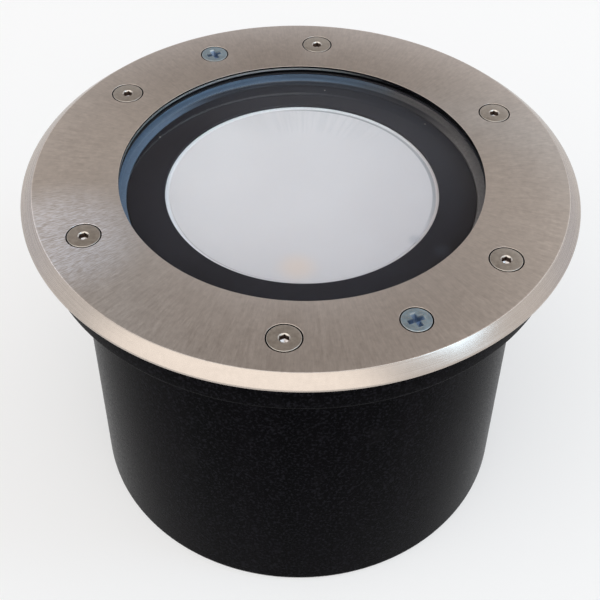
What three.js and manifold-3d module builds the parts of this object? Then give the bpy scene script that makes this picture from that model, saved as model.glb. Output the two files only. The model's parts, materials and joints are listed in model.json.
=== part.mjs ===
// Recessed LED uplight: a stainless bezel on a sealed die-cast light, in a moulded ground sleeve.
// Millimetres, +Z up. The origin is the centre of the sleeve's underside, and -Y faces the viewer.

import * as THREE from 'three';
import { mergeVertices } from 'three/addons/utils/BufferGeometryUtils.js';
import Module from 'manifold-3d';

const wasm = await Module();
wasm.setup();

// Overall height
const totalHeight = 125;

// Clearances and cutting
const seatGap = 0.1;
const sideGap = 0.3;
const overrun = 1;

// Facets round a full turn
const largeSides = 72;
const mediumSides = 40;
const boreSides = 24;
const smallSides = 16;
const tinySides = 10;
const cornerSteps = 2;

// Glass, its gasket and the opening over them
const glassRadius = 63.5;
const glassThickness = 6;
const glassCover = 4.3;
const gasketLip = 0.6;
const gasketLipSetback = 0.3;
const gasketWall = 0.9;
const gasketBase = 1.2;

// Mask ring and diffuser
const maskInset = 1.8;
const maskWidth = 12.5;
const maskThickness = 1;
const discOverlap = 2.1;
const discThickness = 2;
const discLip = 1.5;
const discGrooveWidth = 0.5;
const discGrooveDepth = 0.4;

// Bezel ring
const bezelThickness = 3;
const rimLip = 0.8;
const rimLand = 0.6;
const rimWidth = 4.5;
const bevelWidth = 3.8;
const hexScrewCount = 6;
const crossScrewCount = 2;
const firstHexDegrees = 87;

// Countersunk screws in the bezel
const hexHeadRadius = 5.15;
const crossHeadRadius = 4.7;
const headRimHeight = 0.35;
const headEdge = 0.3;
const clampShankRadius = 2.5;
const hexScrewSpare = 0.6;
const shankTip = 0.5;
const hexSocketAcross = 3.1;
const hexSocketDepth = 1.9;
const hexSocketMouth = 0.35;
const crossArmLength = 5.4;
const crossArmWidth = 1.3;
const crossRecessDepth = 2;

// Body housing
const flangeMargin = 7.3;
const flangeThickness = 7;
const neckWall = 1;
const neckClearance = 1.2;
const ledgeThickness = 3;
const neckFlare = 7;
const bodyWall = 4;
const chamberWall = 8;
const bowlDepth = 36.8;
const deckThickness = 5;
const finCount = 20;
const finReach = 7;
const finClearance = 4.2;
const finThickness = 2.2;
const finFoot = 6;

// Light source on the deck
const padThickness = 0.5;
const boardSide = 20;
const boardThickness = 1.2;
const emitterRadius = 7.5;
const emitterThickness = 0.6;
const holderHeight = 3.9;
const holderThroatMargin = 1.5;
const holderMouthFlare = 1.5;
const holderWall = 0.5;
const holderRim = 1.3;
const holderScrewRadius = 1.25;
const holderScrewHeadRadius = 2.2;
const holderScrewHeadHeight = 1.5;
const holderScrewGrip = 3.6;
const holderScrewDegrees = [90, 270];

// Reflector bowl
const reflectorThroatStep = 0.5;
const reflectorMouthInset = 1;
const reflectorRimGap = 1.5;
const reflectorRimThickness = 1.5;
const reflectorWall = 2;
const reflectorSides = 24;
const reflectorSteps = 5;

// Driver on its posts under the deck
const postRadius = 3.4;
const postHeight = 5;
const postInset = 6;
const postDegrees = [90, 210, 330];
const driverMargin = 6;
const driverThickness = 1.6;
const driverClearance = 2.9;
const driverScrewRadius = 1.5;
const driverScrewHeadRadius = 2.8;
const driverScrewHeadHeight = 1.8;
const driverScrewGrip = 3.5;
const driverScrewSpare = 1;
const coilLength = 22;
const coilWidth = 18;
const coilHeight = 12;
const coilWinding = 3;
const capacitorRadius = 5;
const capacitorHeight = 11.5;
const terminalLength = 24;
const terminalWidth = 10;
const terminalHeight = 10;
const terminalEntryRadius = 1.6;
const terminalEntryDepth = 5;
const terminalEntryCount = 3;

// Places on the driver board, as shares of its radius
const coilPlaceShares = [-0.405, 0.143];
const capacitorPlaceShares = [[0.286, 0.524], [0.595, 0.286]];
const terminalPlaceShares = [0, -0.62];

// Wires from the light source through the deck
const wireRadius = 0.8;
const wireHoleRadius = 2;
const wireReach = 6;
const wireStartDrop = 1.4;
const wireDegrees = [-9, 9];
const wireSides = 8;
const wireSteps = 14;

// Rear cover, its seal and screws
const coverThickness = 4;
const spigotTip = 1.2;
const sealTube = 0.8;
const sealShoulder = 1;
const coverScrewRadius = 2;
const coverScrewHeadRadius = 3.6;
const coverScrewHeadHeight = 2.4;
const coverScrewGrip = 7.9;
const coverScrewSocketAcross = 3;
const coverScrewSocketDepth = 1.4;
const coverScrewCount = 4;
const firstCoverScrewDegrees = 45;

// Cable gland
const glandThreadRadius = 7.9;
const glandStep = 0.5;
const glandWall = 1.5;
const glandHexHeight = 5;
const glandSpigotHeight = 9;
const glandBore = 4.2;
const glandSealSqueeze = 0.6;
const glandSealHeight = 6;
const glandNutWall = 3.6;
const glandNutTaper = 3;
const glandNutDraft = 2.5;
const glandNutCap = 4.5;
const hexagonSides = 6;

// Ground sleeve
const sleeveWall = 2.8;
const sleeveStep = 4.5;
const sleeveFloor = 3.5;
const sleeveCorner = 2;
const collarLip = 3.9;
const collarFloor = 1.5;
const collarRebate = 1;
const collarCorner = 0.8;
const drainRadius = 12;
const entryRadius = 11;
const entryHeight = 22;
const entryDegrees = [87, 147];

// Threaded inserts in the collar
const insertRadius = 3.9;
const insertLength = 5;
const insertWall = 2.3;
const insertSpare = 0.5;

// Radii from the glass outwards
const openingRadius = glassRadius - glassCover;
const gasketLipRadius = openingRadius + gasketLipSetback;
const gasketRadius = glassRadius + sideGap + gasketWall;
const recessRadius = gasketRadius + sideGap;
const neckRadius = recessRadius + neckWall;
const shelfBore = neckRadius + neckClearance;
const sleeveBore = shelfBore + sleeveStep;
const sleeveRadius = sleeveBore + sleeveWall;
const insertHoleRadius = insertRadius + sideGap;
const pitchRadius = shelfBore + insertWall + insertHoleRadius;
const flangeRadius = pitchRadius + flangeMargin;
const collarBore = flangeRadius + sideGap;
const collarRadius = collarBore + collarLip;
const rimInnerRadius = collarRadius + sideGap;
const bezelRadius = rimInnerRadius + rimWidth;
const topFaceRadius = bezelRadius - bevelWidth;
const clampHoleRadius = clampShankRadius + sideGap;

// Radii of the window's inner rings
const maskRadius = openingRadius - maskInset;
const maskInnerRadius = maskRadius - maskWidth;
const gasketBaseRadius = maskRadius + sideGap;
const discRadius = maskInnerRadius + discOverlap;
const discGrooveRadius = maskInnerRadius - discLip;

// Radii of the body and what it holds
const bodyRadius = shelfBore - finClearance - finReach;
const bodyBore = bodyRadius - bodyWall;
const chamberBore = bodyRadius - chamberWall;
const coverScrewPitch = chamberBore + chamberWall / 2;
const spigotRadius = chamberBore - sideGap;
const driverRadius = chamberBore - driverMargin;
const postPitch = driverRadius - postInset;
const holderPocketRadius = boardSide * Math.SQRT1_2 + sideGap;
const holderScrewPitch = holderPocketRadius + holderWall + sideGap + holderScrewHeadRadius;
const holderRadius = holderScrewPitch + holderScrewHeadRadius + sideGap + holderRim;
const holderThroatRadius = emitterRadius + holderThroatMargin;
const holderMouthRadius = holderThroatRadius + holderMouthFlare;
const reflectorThroatRadius = holderMouthRadius + reflectorThroatStep;
const reflectorMouthRadius = discRadius - reflectorMouthInset;
const reflectorRimRadius = bodyBore - reflectorRimGap;
const wirePitch = holderRadius + wireReach;

// Radii of the gland and its seat
const glandSpigotRadius = glandThreadRadius - glandStep;
const glandSealRadius = glandSpigotRadius - glandWall - sideGap;
const glandSealBore = glandBore - glandSealSqueeze;
const glandNutRadius = glandSpigotRadius + glandNutWall;
const glandNutNeck = glandNutRadius - glandNutDraft;
const glandHexRadius = glandNutRadius + glandStep;
const coverBore = glandThreadRadius + sideGap;

// Levels from the top face down
const bezelUnder = totalHeight - bezelThickness;
const rimUnder = bezelUnder - rimLip;
const bevelUnder = rimUnder + rimLand;
const gasketTop = bezelUnder - seatGap;
const lipUnder = gasketTop - gasketLip;
const glassTop = lipUnder - seatGap;
const glassUnder = glassTop - glassThickness;
const gasketBaseTop = glassUnder - seatGap;
const gasketUnder = gasketBaseTop - gasketBase;
const ledgeTop = gasketUnder - seatGap;
const maskTop = glassUnder - seatGap;
const maskUnder = maskTop - maskThickness;
const discTop = maskUnder - seatGap;
const discUnder = discTop - discThickness;
const flangeTop = bezelUnder - seatGap;
const flangeUnder = flangeTop - flangeThickness;
const shoulderTop = flangeUnder - seatGap;
const collarTop = bezelUnder - seatGap;
const insertTop = shoulderTop - sideGap;
const insertFloor = insertTop - insertLength - sideGap;
const collarUnder = insertFloor - collarFloor;
const rebateTop = collarUnder + collarRebate;
const sleeveTop = rebateTop - seatGap;
const hexScrewEnd = flangeUnder + hexScrewSpare;
const crossScrewEnd = insertTop - insertLength + insertSpare;

// Levels of the light source, from the deck up
const deckTop = ledgeTop - bowlDepth;
const padTop = deckTop + seatGap + padThickness;
const boardTop = padTop + seatGap + boardThickness;
const emitterBase = boardTop + seatGap;
const holderBase = deckTop + seatGap;
const holderTop = holderBase + holderHeight;
const holderRoof = boardTop + sideGap;
const reflectorThroatLevel = holderTop + sideGap + reflectorWall;
const reflectorRimTop = discUnder - seatGap;
const reflectorRimUnder = reflectorRimTop - reflectorRimThickness;

// Levels of the driver and the rear cover, from the deck down
const deckUnder = deckTop - deckThickness;
const postEnd = deckUnder - postHeight;
const driverTop = postEnd - seatGap;
const driverUnder = driverTop - driverThickness;
const coilUnder = driverUnder - seatGap - coilHeight;
const spigotTop = coilUnder - driverClearance;
const grooveTop = spigotTop - spigotTip;
const grooveUnder = grooveTop - 2 * sealTube - 2 * sideGap;
const coverTop = grooveUnder - sealShoulder;
const bodyBottom = coverTop + seatGap;
const coverUnder = coverTop - coverThickness;
const glandHexTop = coverUnder - seatGap;
const glandHexUnder = glandHexTop - glandHexHeight;
const glandEnd = glandHexUnder - glandSpigotHeight;
const glandNutTop = glandHexUnder - sideGap;
const glandSealPocket = glandEnd + glandSealHeight + sideGap;
const firstCrossDegrees = firstHexDegrees + 180 / hexScrewCount;

const radians = THREE.MathUtils.degToRad;

// A solid of revolution about +Z. The profile's [radius, height] points run anticlockwise.
function lathe(profile, sides) {
  const points = profile.map(([radius, height]) => new THREE.Vector2(radius, height));
  const geometry = new THREE.LatheGeometry(points, sides);
  return geometry.rotateX(Math.PI / 2);
}

// A solid of revolution whose profile encloses a hollow middle
function ring(profile, sides) {
  return lathe([...profile, profile[0]], sides);
}

// A round bar from one level to another
function bar(radius, bottom, top, sides = smallSides) {
  return lathe([[0, bottom], [radius, bottom], [radius, top], [0, top]], sides);
}

// A round tube from one level to another
function tube(bore, radius, bottom, top, sides) {
  return ring([[bore, bottom], [radius, bottom], [radius, top], [bore, top]], sides);
}

// A hexagonal bar with flats at a given distance across
function hexBar(across, bottom, top) {
  return bar(across / 2 / Math.cos(Math.PI / hexagonSides), bottom, top, hexagonSides);
}

// A rectangular block standing on a level
function block(length, width, bottom, top) {
  return new THREE.BoxGeometry(length, width, top - bottom).translate(0, 0, (top + bottom) / 2);
}

// A copy of a shape turned about +Z after a shift along +X
function placedAt(geometry, radius, degrees) {
  return geometry.clone().translate(radius, 0, 0).rotateZ(radians(degrees));
}

// Evenly spaced directions in degrees
function around(count, first) {
  return Array.from({ length: count }, (_, i) => first + (360 * i) / count);
}

// Points of a quarter turn about a centre, from one direction to the next
function corner(radius, height, size, fromDegrees) {
  const points = [];
  for (let i = 0; i <= cornerSteps; i += 1) {
    const angle = radians(fromDegrees + (90 * i) / cornerSteps);
    points.push([radius + size * Math.cos(angle), height + size * Math.sin(angle)]);
  }
  return points;
}

function manifoldOf(geometry) {
  const bare = geometry.clone();
  bare.deleteAttribute('normal');
  bare.deleteAttribute('uv');
  const merged = mergeVertices(bare);
  const index = merged.index.array;
  const corners = [];
  for (let i = 0; i < index.length; i += 3) {
    const [a, b, c] = [index[i], index[i + 1], index[i + 2]];
    if (a !== b && b !== c && c !== a) corners.push(a, b, c);
  }
  return new wasm.Manifold(new wasm.Mesh({
    numProp: 3,
    vertProperties: Float32Array.from(merged.attributes.position.array),
    triVerts: Uint32Array.from(corners),
  }));
}

function geometryOf(solid) {
  const mesh = solid.getMesh();
  const geometry = new THREE.BufferGeometry();
  geometry.setAttribute('position', new THREE.BufferAttribute(mesh.vertProperties, 3));
  geometry.setIndex(new THREE.BufferAttribute(mesh.triVerts, 1));
  geometry.computeVertexNormals();
  return geometry;
}

function cut(base, tools) {
  let solid = manifoldOf(base);
  for (const tool of tools) solid = solid.subtract(manifoldOf(tool));
  return geometryOf(solid);
}

function join(shapes) {
  let solid = manifoldOf(shapes[0]);
  for (const shape of shapes.slice(1)) solid = solid.add(manifoldOf(shape));
  return geometryOf(solid);
}

// Finishes
const stainless = () => new THREE.MeshStandardMaterial({ color: 0x9c938c, roughness: 0.38, metalness: 1 });
const screwSteel = () => new THREE.MeshStandardMaterial({ color: 0x8c8276, roughness: 0.3, metalness: 1 });
const zincSteel = () => new THREE.MeshStandardMaterial({ color: 0x87969e, roughness: 0.32, metalness: 1 });
const blackPlastic = () => new THREE.MeshStandardMaterial({ color: 0x18171a, roughness: 0.5, metalness: 0 });
const castBlack = () => new THREE.MeshStandardMaterial({ color: 0x232326, roughness: 0.6, metalness: 0.3 });
const maskBlack = () => new THREE.MeshStandardMaterial({ color: 0x2b2a31, roughness: 0.7, metalness: 0 });
const silicone = () => new THREE.MeshStandardMaterial({ color: 0x54606c, roughness: 0.6, metalness: 0 });
const sealBlack = () => new THREE.MeshStandardMaterial({ color: 0x1c1c1c, roughness: 0.7, metalness: 0 });
const clearGlass = () => new THREE.MeshStandardMaterial({
  color: 0xe8f0f2, roughness: 0.03, metalness: 0, transparent: true, opacity: 0.25,
});
const frosted = () => new THREE.MeshStandardMaterial({ color: 0xd0d0d4, roughness: 0.6, metalness: 0 });
const whitePlastic = () => new THREE.MeshStandardMaterial({ color: 0xe2e0da, roughness: 0.5, metalness: 0 });
const brightMetal = () => new THREE.MeshStandardMaterial({ color: 0xd6d6d8, roughness: 0.2, metalness: 1 });
const boardAluminium = () => new THREE.MeshStandardMaterial({ color: 0xc4c6c8, roughness: 0.45, metalness: 1 });
const phosphor = () => new THREE.MeshStandardMaterial({ color: 0xf0c070, roughness: 0.6, metalness: 0 });
const greyPad = () => new THREE.MeshStandardMaterial({ color: 0x8d9096, roughness: 0.8, metalness: 0 });
const circuitGreen = () => new THREE.MeshStandardMaterial({ color: 0x1f5b3a, roughness: 0.5, metalness: 0 });
const windingYellow = () => new THREE.MeshStandardMaterial({ color: 0xc9a53a, roughness: 0.5, metalness: 0 });
const capacitorBlack = () => new THREE.MeshStandardMaterial({ color: 0x20242c, roughness: 0.35, metalness: 0 });
const terminalGreen = () => new THREE.MeshStandardMaterial({ color: 0x2f7d4c, roughness: 0.45, metalness: 0 });
const wireRed = () => new THREE.MeshStandardMaterial({ color: 0xa02020, roughness: 0.5, metalness: 0 });
const wireBlack = () => new THREE.MeshStandardMaterial({ color: 0x1a1a1a, roughness: 0.5, metalness: 0 });
const brass = () => new THREE.MeshStandardMaterial({ color: 0xb08d4a, roughness: 0.35, metalness: 1 });

const uplight = new THREE.Group();

function addPiece(name, geometry, material) {
  const mesh = new THREE.Mesh(geometry, material);
  mesh.name = name;
  uplight.add(mesh);
  return mesh;
}

// Puts a piece on a pitch circle, turned with its direction
function setOnCircle(mesh, radius, degrees, level) {
  const angle = radians(degrees);
  mesh.position.set(radius * Math.cos(angle), radius * Math.sin(angle), level);
  mesh.rotation.z = angle;
}

const hexDirections = around(hexScrewCount, firstHexDegrees);
const crossDirections = around(crossScrewCount, firstCrossDegrees);
const coverScrewDirections = around(coverScrewCount, firstCoverScrewDegrees);

// The hole that a countersunk head and its shank need, from the top face down
function countersink(headRadius) {
  const rim = headRimHeight + sideGap;
  const coneEnd = rim + headRadius - clampShankRadius;
  return lathe([
    [0, -bezelThickness - overrun],
    [clampHoleRadius, -bezelThickness - overrun],
    [clampHoleRadius, -coneEnd],
    [headRadius + sideGap, -rim],
    [headRadius + sideGap, overrun],
    [0, overrun],
  ], smallSides).translate(0, 0, totalHeight);
}

function bezelRing() {
  const blank = ring([
    [openingRadius, bezelUnder],
    [rimInnerRadius, bezelUnder],
    [rimInnerRadius, rimUnder],
    [bezelRadius, rimUnder],
    [bezelRadius, bevelUnder],
    [topFaceRadius, totalHeight],
    [openingRadius, totalHeight],
  ], largeSides);
  const hexHoles = hexDirections.map((d) => placedAt(countersink(hexHeadRadius), pitchRadius, d));
  const crossHoles = crossDirections.map((d) => placedAt(countersink(crossHeadRadius), pitchRadius, d));
  return cut(blank, [...hexHoles, ...crossHoles]);
}

// A countersunk screw hanging from its head's flat top at level zero
function countersunkBlank(headRadius, endLevel) {
  const length = totalHeight - endLevel;
  return lathe([
    [0, -length],
    [clampShankRadius - shankTip, -length],
    [clampShankRadius, -length + shankTip],
    [clampShankRadius, -headRimHeight - headRadius + clampShankRadius],
    [headRadius, -headRimHeight],
    [headRadius, -headEdge / 2],
    [headRadius - headEdge, 0],
    [0, 0],
  ], smallSides);
}

function hexScrew() {
  const socket = hexBar(hexSocketAcross, -hexSocketDepth, overrun);
  const mouthRadius = hexSocketAcross / 2 + hexSocketMouth;
  const mouth = lathe([
    [0, -mouthRadius],
    [mouthRadius + overrun, overrun],
    [0, overrun],
  ], smallSides);
  return cut(countersunkBlank(hexHeadRadius, hexScrewEnd), [socket, mouth]);
}

function crossScrew() {
  const arm = block(crossArmLength, crossArmWidth, -crossRecessDepth, overrun);
  const otherArm = arm.clone().rotateZ(Math.PI / 2);
  return cut(countersunkBlank(crossHeadRadius, crossScrewEnd), [arm, otherArm]);
}

function glassGasket() {
  return ring([
    [gasketBaseRadius, gasketUnder],
    [gasketRadius, gasketUnder],
    [gasketRadius, gasketTop],
    [gasketLipRadius, gasketTop],
    [gasketLipRadius, lipUnder],
    [glassRadius + sideGap, lipUnder],
    [glassRadius + sideGap, gasketBaseTop],
    [gasketBaseRadius, gasketBaseTop],
  ], mediumSides);
}

function diffuserDisc() {
  const grooveFloor = discTop - discGrooveDepth;
  return lathe([
    [0, discUnder],
    [discRadius, discUnder],
    [discRadius, discTop],
    [discGrooveRadius + discGrooveWidth, discTop],
    [discGrooveRadius + discGrooveWidth, grooveFloor],
    [discGrooveRadius, grooveFloor],
    [discGrooveRadius, discTop],
    [0, discTop],
  ], mediumSides);
}

// The bowl's height above its throat at a radius, on a parabola that ends under the rim
function bowlRise(radius) {
  const spread = reflectorMouthRadius ** 2 - reflectorThroatRadius ** 2;
  return ((radius ** 2 - reflectorThroatRadius ** 2) / spread) * (reflectorRimUnder - reflectorThroatLevel);
}

function reflector() {
  const inner = [];
  for (let i = 0; i <= reflectorSteps; i += 1) {
    const radius = THREE.MathUtils.lerp(reflectorThroatRadius, reflectorMouthRadius, i / reflectorSteps);
    inner.push([radius, reflectorThroatLevel + bowlRise(radius)]);
  }
  const outer = inner.map(([radius, level]) => [radius, level - reflectorWall]);
  return ring([
    ...outer,
    [reflectorMouthRadius + reflectorWall / 2, reflectorRimUnder],
    [reflectorRimRadius, reflectorRimUnder],
    [reflectorRimRadius, reflectorRimTop],
    [reflectorMouthRadius, reflectorRimTop],
    ...inner.reverse(),
  ], reflectorSides);
}

// A pan-head screw whose shank rises from level zero and whose head hangs below it
function panScrew(shankRadius, headRadius, headHeight, length) {
  return lathe([
    [0, -headHeight],
    [headRadius - headHeight / 3, -headHeight],
    [headRadius, -headHeight / 2],
    [headRadius, 0],
    [shankRadius, 0],
    [shankRadius, length - shankTip],
    [shankRadius - shankTip, length],
    [0, length],
  ], tinySides);
}

// Cuts a hexagon socket into the underside of a pan-head screw
function socketed(screw, across, headHeight, depth) {
  return cut(screw, [hexBar(across, -headHeight - overrun, depth - headHeight)]);
}

function ledHolder() {
  const blank = ring([
    [holderPocketRadius, holderBase],
    [holderRadius, holderBase],
    [holderRadius, holderTop],
    [holderMouthRadius, holderTop],
    [holderThroatRadius, holderRoof],
    [holderPocketRadius, holderRoof],
  ], boreSides);
  const headSeat = holderTop - holderScrewHeadHeight - seatGap;
  const shankHole = bar(holderScrewRadius + sideGap, holderBase - overrun, holderTop, tinySides);
  const headHole = bar(holderScrewHeadRadius + sideGap, headSeat, holderTop + overrun, tinySides);
  const holes = holderScrewDegrees.flatMap((d) => [
    placedAt(shankHole, holderScrewPitch, d),
    placedAt(headHole, holderScrewPitch, d),
  ]);
  return cut(blank, holes);
}

function bodyBlank() {
  return lathe([
    [0, deckUnder],
    [chamberBore, deckUnder],
    [chamberBore, bodyBottom],
    [bodyRadius, bodyBottom],
    [bodyRadius, ledgeTop - ledgeThickness - neckFlare],
    [neckRadius, ledgeTop - ledgeThickness],
    [neckRadius, flangeUnder],
    [flangeRadius, flangeUnder],
    [flangeRadius, flangeTop],
    [recessRadius, flangeTop],
    [recessRadius, ledgeTop],
    [bodyBore, ledgeTop],
    [bodyBore, deckTop],
    [0, deckTop],
  ], mediumSides);
}

function bodyHousing() {
  const finTop = ledgeTop - ledgeThickness - neckFlare / 2;
  const finInside = bodyRadius - overrun;
  const fin = block(finReach + overrun, finThickness, bodyBottom + finFoot, finTop);
  const fins = around(finCount, 0).map((d) => placedAt(fin, finInside + (finReach + overrun) / 2, d));
  const post = bar(postRadius, postEnd, deckUnder + overrun);
  const posts = postDegrees.map((d) => placedAt(post, postPitch, d));
  const clampHole = bar(clampHoleRadius, flangeUnder - overrun, flangeTop + overrun);
  const clampHoles = [...hexDirections, ...crossDirections].map((d) => placedAt(clampHole, pitchRadius, d));
  const holderHole = bar(holderScrewRadius + sideGap, deckTop - holderScrewGrip, deckTop + overrun);
  const holderHoles = holderScrewDegrees.map((d) => placedAt(holderHole, holderScrewPitch, d));
  const postHole = bar(driverScrewRadius + sideGap, postEnd - overrun, postEnd + driverScrewGrip + sideGap);
  const postHoles = postDegrees.map((d) => placedAt(postHole, postPitch, d));
  const wireHole = bar(wireHoleRadius, deckUnder - overrun, deckTop + overrun);
  const wireHoles = wireDegrees.map((d) => placedAt(wireHole, wirePitch, d));
  const coverHole = bar(coverScrewRadius + sideGap, bodyBottom - overrun, bodyBottom + coverScrewGrip + sideGap);
  const coverHoles = coverScrewDirections.map((d) => placedAt(coverHole, coverScrewPitch, d));
  return cut(join([bodyBlank(), ...fins, ...posts]), [
    ...clampHoles,
    ...holderHoles,
    ...postHoles,
    ...wireHoles,
    ...coverHoles,
  ]);
}

function driverBoard() {
  const hole = bar(driverScrewRadius + sideGap, driverUnder - overrun, driverTop + overrun);
  const holes = postDegrees.map((d) => placedAt(hole, postPitch, d));
  return cut(bar(driverRadius, driverUnder, driverTop, mediumSides), holes);
}

// Moves a shape to its place on the driver board
function onBoard(geometry, [xShare, yShare]) {
  return geometry.translate(xShare * driverRadius, yShare * driverRadius, 0);
}

// A wound core: the winding stands proud of the core on both sides
function driverCoil() {
  const top = coilUnder + coilHeight;
  const core = block(coilLength, coilWidth, coilUnder, top);
  const winding = block(
    coilLength - 2 * coilWinding,
    coilWidth + 2 * coilWinding,
    coilUnder + coilWinding / 2,
    top - coilWinding / 2,
  );
  return onBoard(join([core, winding]), coilPlaceShares);
}

function driverCapacitor(placeShares) {
  const top = driverUnder - seatGap;
  const edge = capacitorRadius / 8;
  const can = lathe([
    [0, top - capacitorHeight],
    [capacitorRadius - edge, top - capacitorHeight],
    [capacitorRadius, top - capacitorHeight + edge],
    [capacitorRadius, top],
    [0, top],
  ], smallSides);
  return onBoard(can, placeShares);
}

// A row of wire entries faces the gland's side of the chamber
function terminalBlock() {
  const top = driverUnder - seatGap;
  const blank = block(terminalLength, terminalWidth, top - terminalHeight, top);
  const middle = top - terminalHeight / 2;
  const pitch = terminalLength / terminalEntryCount;
  const entry = bar(terminalEntryRadius, -terminalEntryDepth, overrun).rotateX(-Math.PI / 2);
  const entries = [];
  for (let i = 0; i < terminalEntryCount; i += 1) {
    const x = (i - (terminalEntryCount - 1) / 2) * pitch;
    entries.push(entry.clone().translate(x, terminalWidth / 2, middle));
  }
  return onBoard(cut(blank, entries), terminalPlaceShares);
}

// A wire that leaves the holder level, bends down through the deck and ends over the driver board
function ledWire(degrees) {
  const startLevel = holderTop - wireStartDrop;
  const start = new THREE.Vector3(holderRadius + sideGap, 0, startLevel);
  const bend = new THREE.Vector3(wirePitch, 0, startLevel);
  const down = new THREE.Vector3(wirePitch, 0, deckTop - deckThickness / 2);
  const end = new THREE.Vector3(wirePitch, 0, driverTop + sideGap);
  const path = new THREE.CurvePath();
  path.add(new THREE.QuadraticBezierCurve3(start, bend, down));
  path.add(new THREE.LineCurve3(down, end));
  const section = new THREE.Shape();
  for (let i = 0; i < wireSides; i += 1) {
    const angle = (2 * Math.PI * i) / wireSides;
    const point = [wireRadius * Math.cos(angle), wireRadius * Math.sin(angle)];
    if (i === 0) section.moveTo(...point);
    else section.lineTo(...point);
  }
  const geometry = new THREE.ExtrudeGeometry(section, { steps: wireSteps, extrudePath: path });
  return geometry.rotateZ(radians(degrees));
}

function rearCover() {
  const grooveFloor = spigotRadius - 2 * sealTube;
  const blank = ring([
    [coverBore, coverUnder],
    [bodyRadius, coverUnder],
    [bodyRadius, coverTop],
    [spigotRadius, coverTop],
    [spigotRadius, grooveUnder],
    [grooveFloor, grooveUnder],
    [grooveFloor, grooveTop],
    [spigotRadius, grooveTop],
    [spigotRadius, spigotTop],
    [coverBore, spigotTop],
  ], mediumSides);
  const hole = bar(coverScrewRadius + sideGap, coverUnder - overrun, coverTop + overrun);
  return cut(blank, coverScrewDirections.map((d) => placedAt(hole, coverScrewPitch, d)));
}

function rearSeal() {
  const centreRadius = spigotRadius - sealTube + sideGap / 2;
  const level = (grooveUnder + grooveTop) / 2;
  const section = Array.from({ length: wireSides }, (_, i) => {
    const angle = (2 * Math.PI * (i + 1 / 2)) / wireSides;
    return [centreRadius + sealTube * Math.cos(angle), level + sealTube * Math.sin(angle)];
  });
  return ring(section, mediumSides);
}

function glandBody() {
  const thread = bar(glandThreadRadius, glandHexTop - overrun, spigotTop, boreSides);
  const hex = bar(glandHexRadius, glandHexUnder, glandHexTop, hexagonSides);
  const spigot = bar(glandSpigotRadius, glandEnd, glandHexUnder + overrun, boreSides);
  const bore = bar(glandBore, glandEnd - overrun, spigotTop + overrun, boreSides);
  const sealPocket = bar(glandSealRadius + sideGap, glandEnd - overrun, glandSealPocket, boreSides);
  return cut(join([thread, hex, spigot]), [bore, sealPocket]);
}

function glandNut() {
  const bottom = glandEnd - sideGap - glandNutCap;
  const shell = lathe([
    [0, bottom],
    [glandNutNeck, bottom],
    [glandNutRadius, bottom + glandNutTaper],
    [glandNutRadius, glandNutTop],
    [0, glandNutTop],
  ], hexagonSides);
  const mouth = bar(glandBore, bottom - overrun, glandNutTop, boreSides);
  const thread = bar(glandSpigotRadius + sideGap, glandEnd - sideGap, glandNutTop + overrun, boreSides);
  return cut(shell, [mouth, thread]);
}

// The sleeve's tube, open at both ends, with its cable entries
function mountingSleeve() {
  const blank = ring([
    [sleeveBore, 0],
    ...corner(sleeveRadius - sleeveCorner, sleeveCorner, sleeveCorner, -90),
    [sleeveRadius, sleeveTop],
    [sleeveBore, sleeveTop],
  ], largeSides);
  const entry = bar(entryRadius, sleeveBore - 2 * overrun, sleeveRadius + overrun, boreSides);
  entry.rotateY(Math.PI / 2).translate(0, 0, entryHeight);
  return cut(blank, entryDegrees.map((d) => placedAt(entry, 0, d)));
}

// The collar: a rebate over the tube, a shoulder for the flange and a lip round it
function sleeveCollar() {
  const rebateRadius = sleeveRadius + sideGap;
  const blank = ring([
    [shelfBore, rebateTop],
    [rebateRadius, rebateTop],
    [rebateRadius, collarUnder],
    ...corner(collarRadius - collarCorner, collarUnder + collarCorner, collarCorner, -90),
    [collarRadius, collarTop],
    [collarBore, collarTop],
    [collarBore, shoulderTop],
    [shelfBore, shoulderTop],
  ], largeSides);
  const insertHole = bar(insertHoleRadius, insertFloor, shoulderTop + overrun);
  return cut(blank, crossDirections.map((d) => placedAt(insertHole, pitchRadius, d)));
}

// Ground sleeve, its collar, base plate and inserts
const basePlate = tube(drainRadius, sleeveBore - sideGap, 0, sleeveFloor, largeSides);
addPiece('mounting_sleeve', mountingSleeve(), blackPlastic());
addPiece('sleeve_collar', sleeveCollar(), blackPlastic());
addPiece('sleeve_base', basePlate, blackPlastic());
crossDirections.forEach((degrees, i) => {
  const insert = tube(clampHoleRadius, insertRadius, -insertLength, 0, smallSides);
  const mesh = addPiece(`sleeve_insert_${i + 1}`, insert, brass());
  setOnCircle(mesh, pitchRadius, degrees, insertTop);
});

// Bezel and its screws
addPiece('bezel_ring', bezelRing(), stainless());
hexDirections.forEach((degrees, i) => {
  const mesh = addPiece(`hex_screw_${i + 1}`, hexScrew(), screwSteel());
  setOnCircle(mesh, pitchRadius, degrees, totalHeight);
});
crossDirections.forEach((degrees, i) => {
  const mesh = addPiece(`cross_screw_${i + 1}`, crossScrew(), zincSteel());
  setOnCircle(mesh, pitchRadius, degrees, totalHeight);
});

// Window
addPiece('glass_gasket', glassGasket(), silicone());
addPiece('front_glass', bar(glassRadius, glassUnder, glassTop, mediumSides), clearGlass());
addPiece('mask_ring', tube(maskInnerRadius, maskRadius, maskUnder, maskTop, mediumSides), maskBlack());
addPiece('diffuser_disc', diffuserDisc(), frosted());

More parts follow.
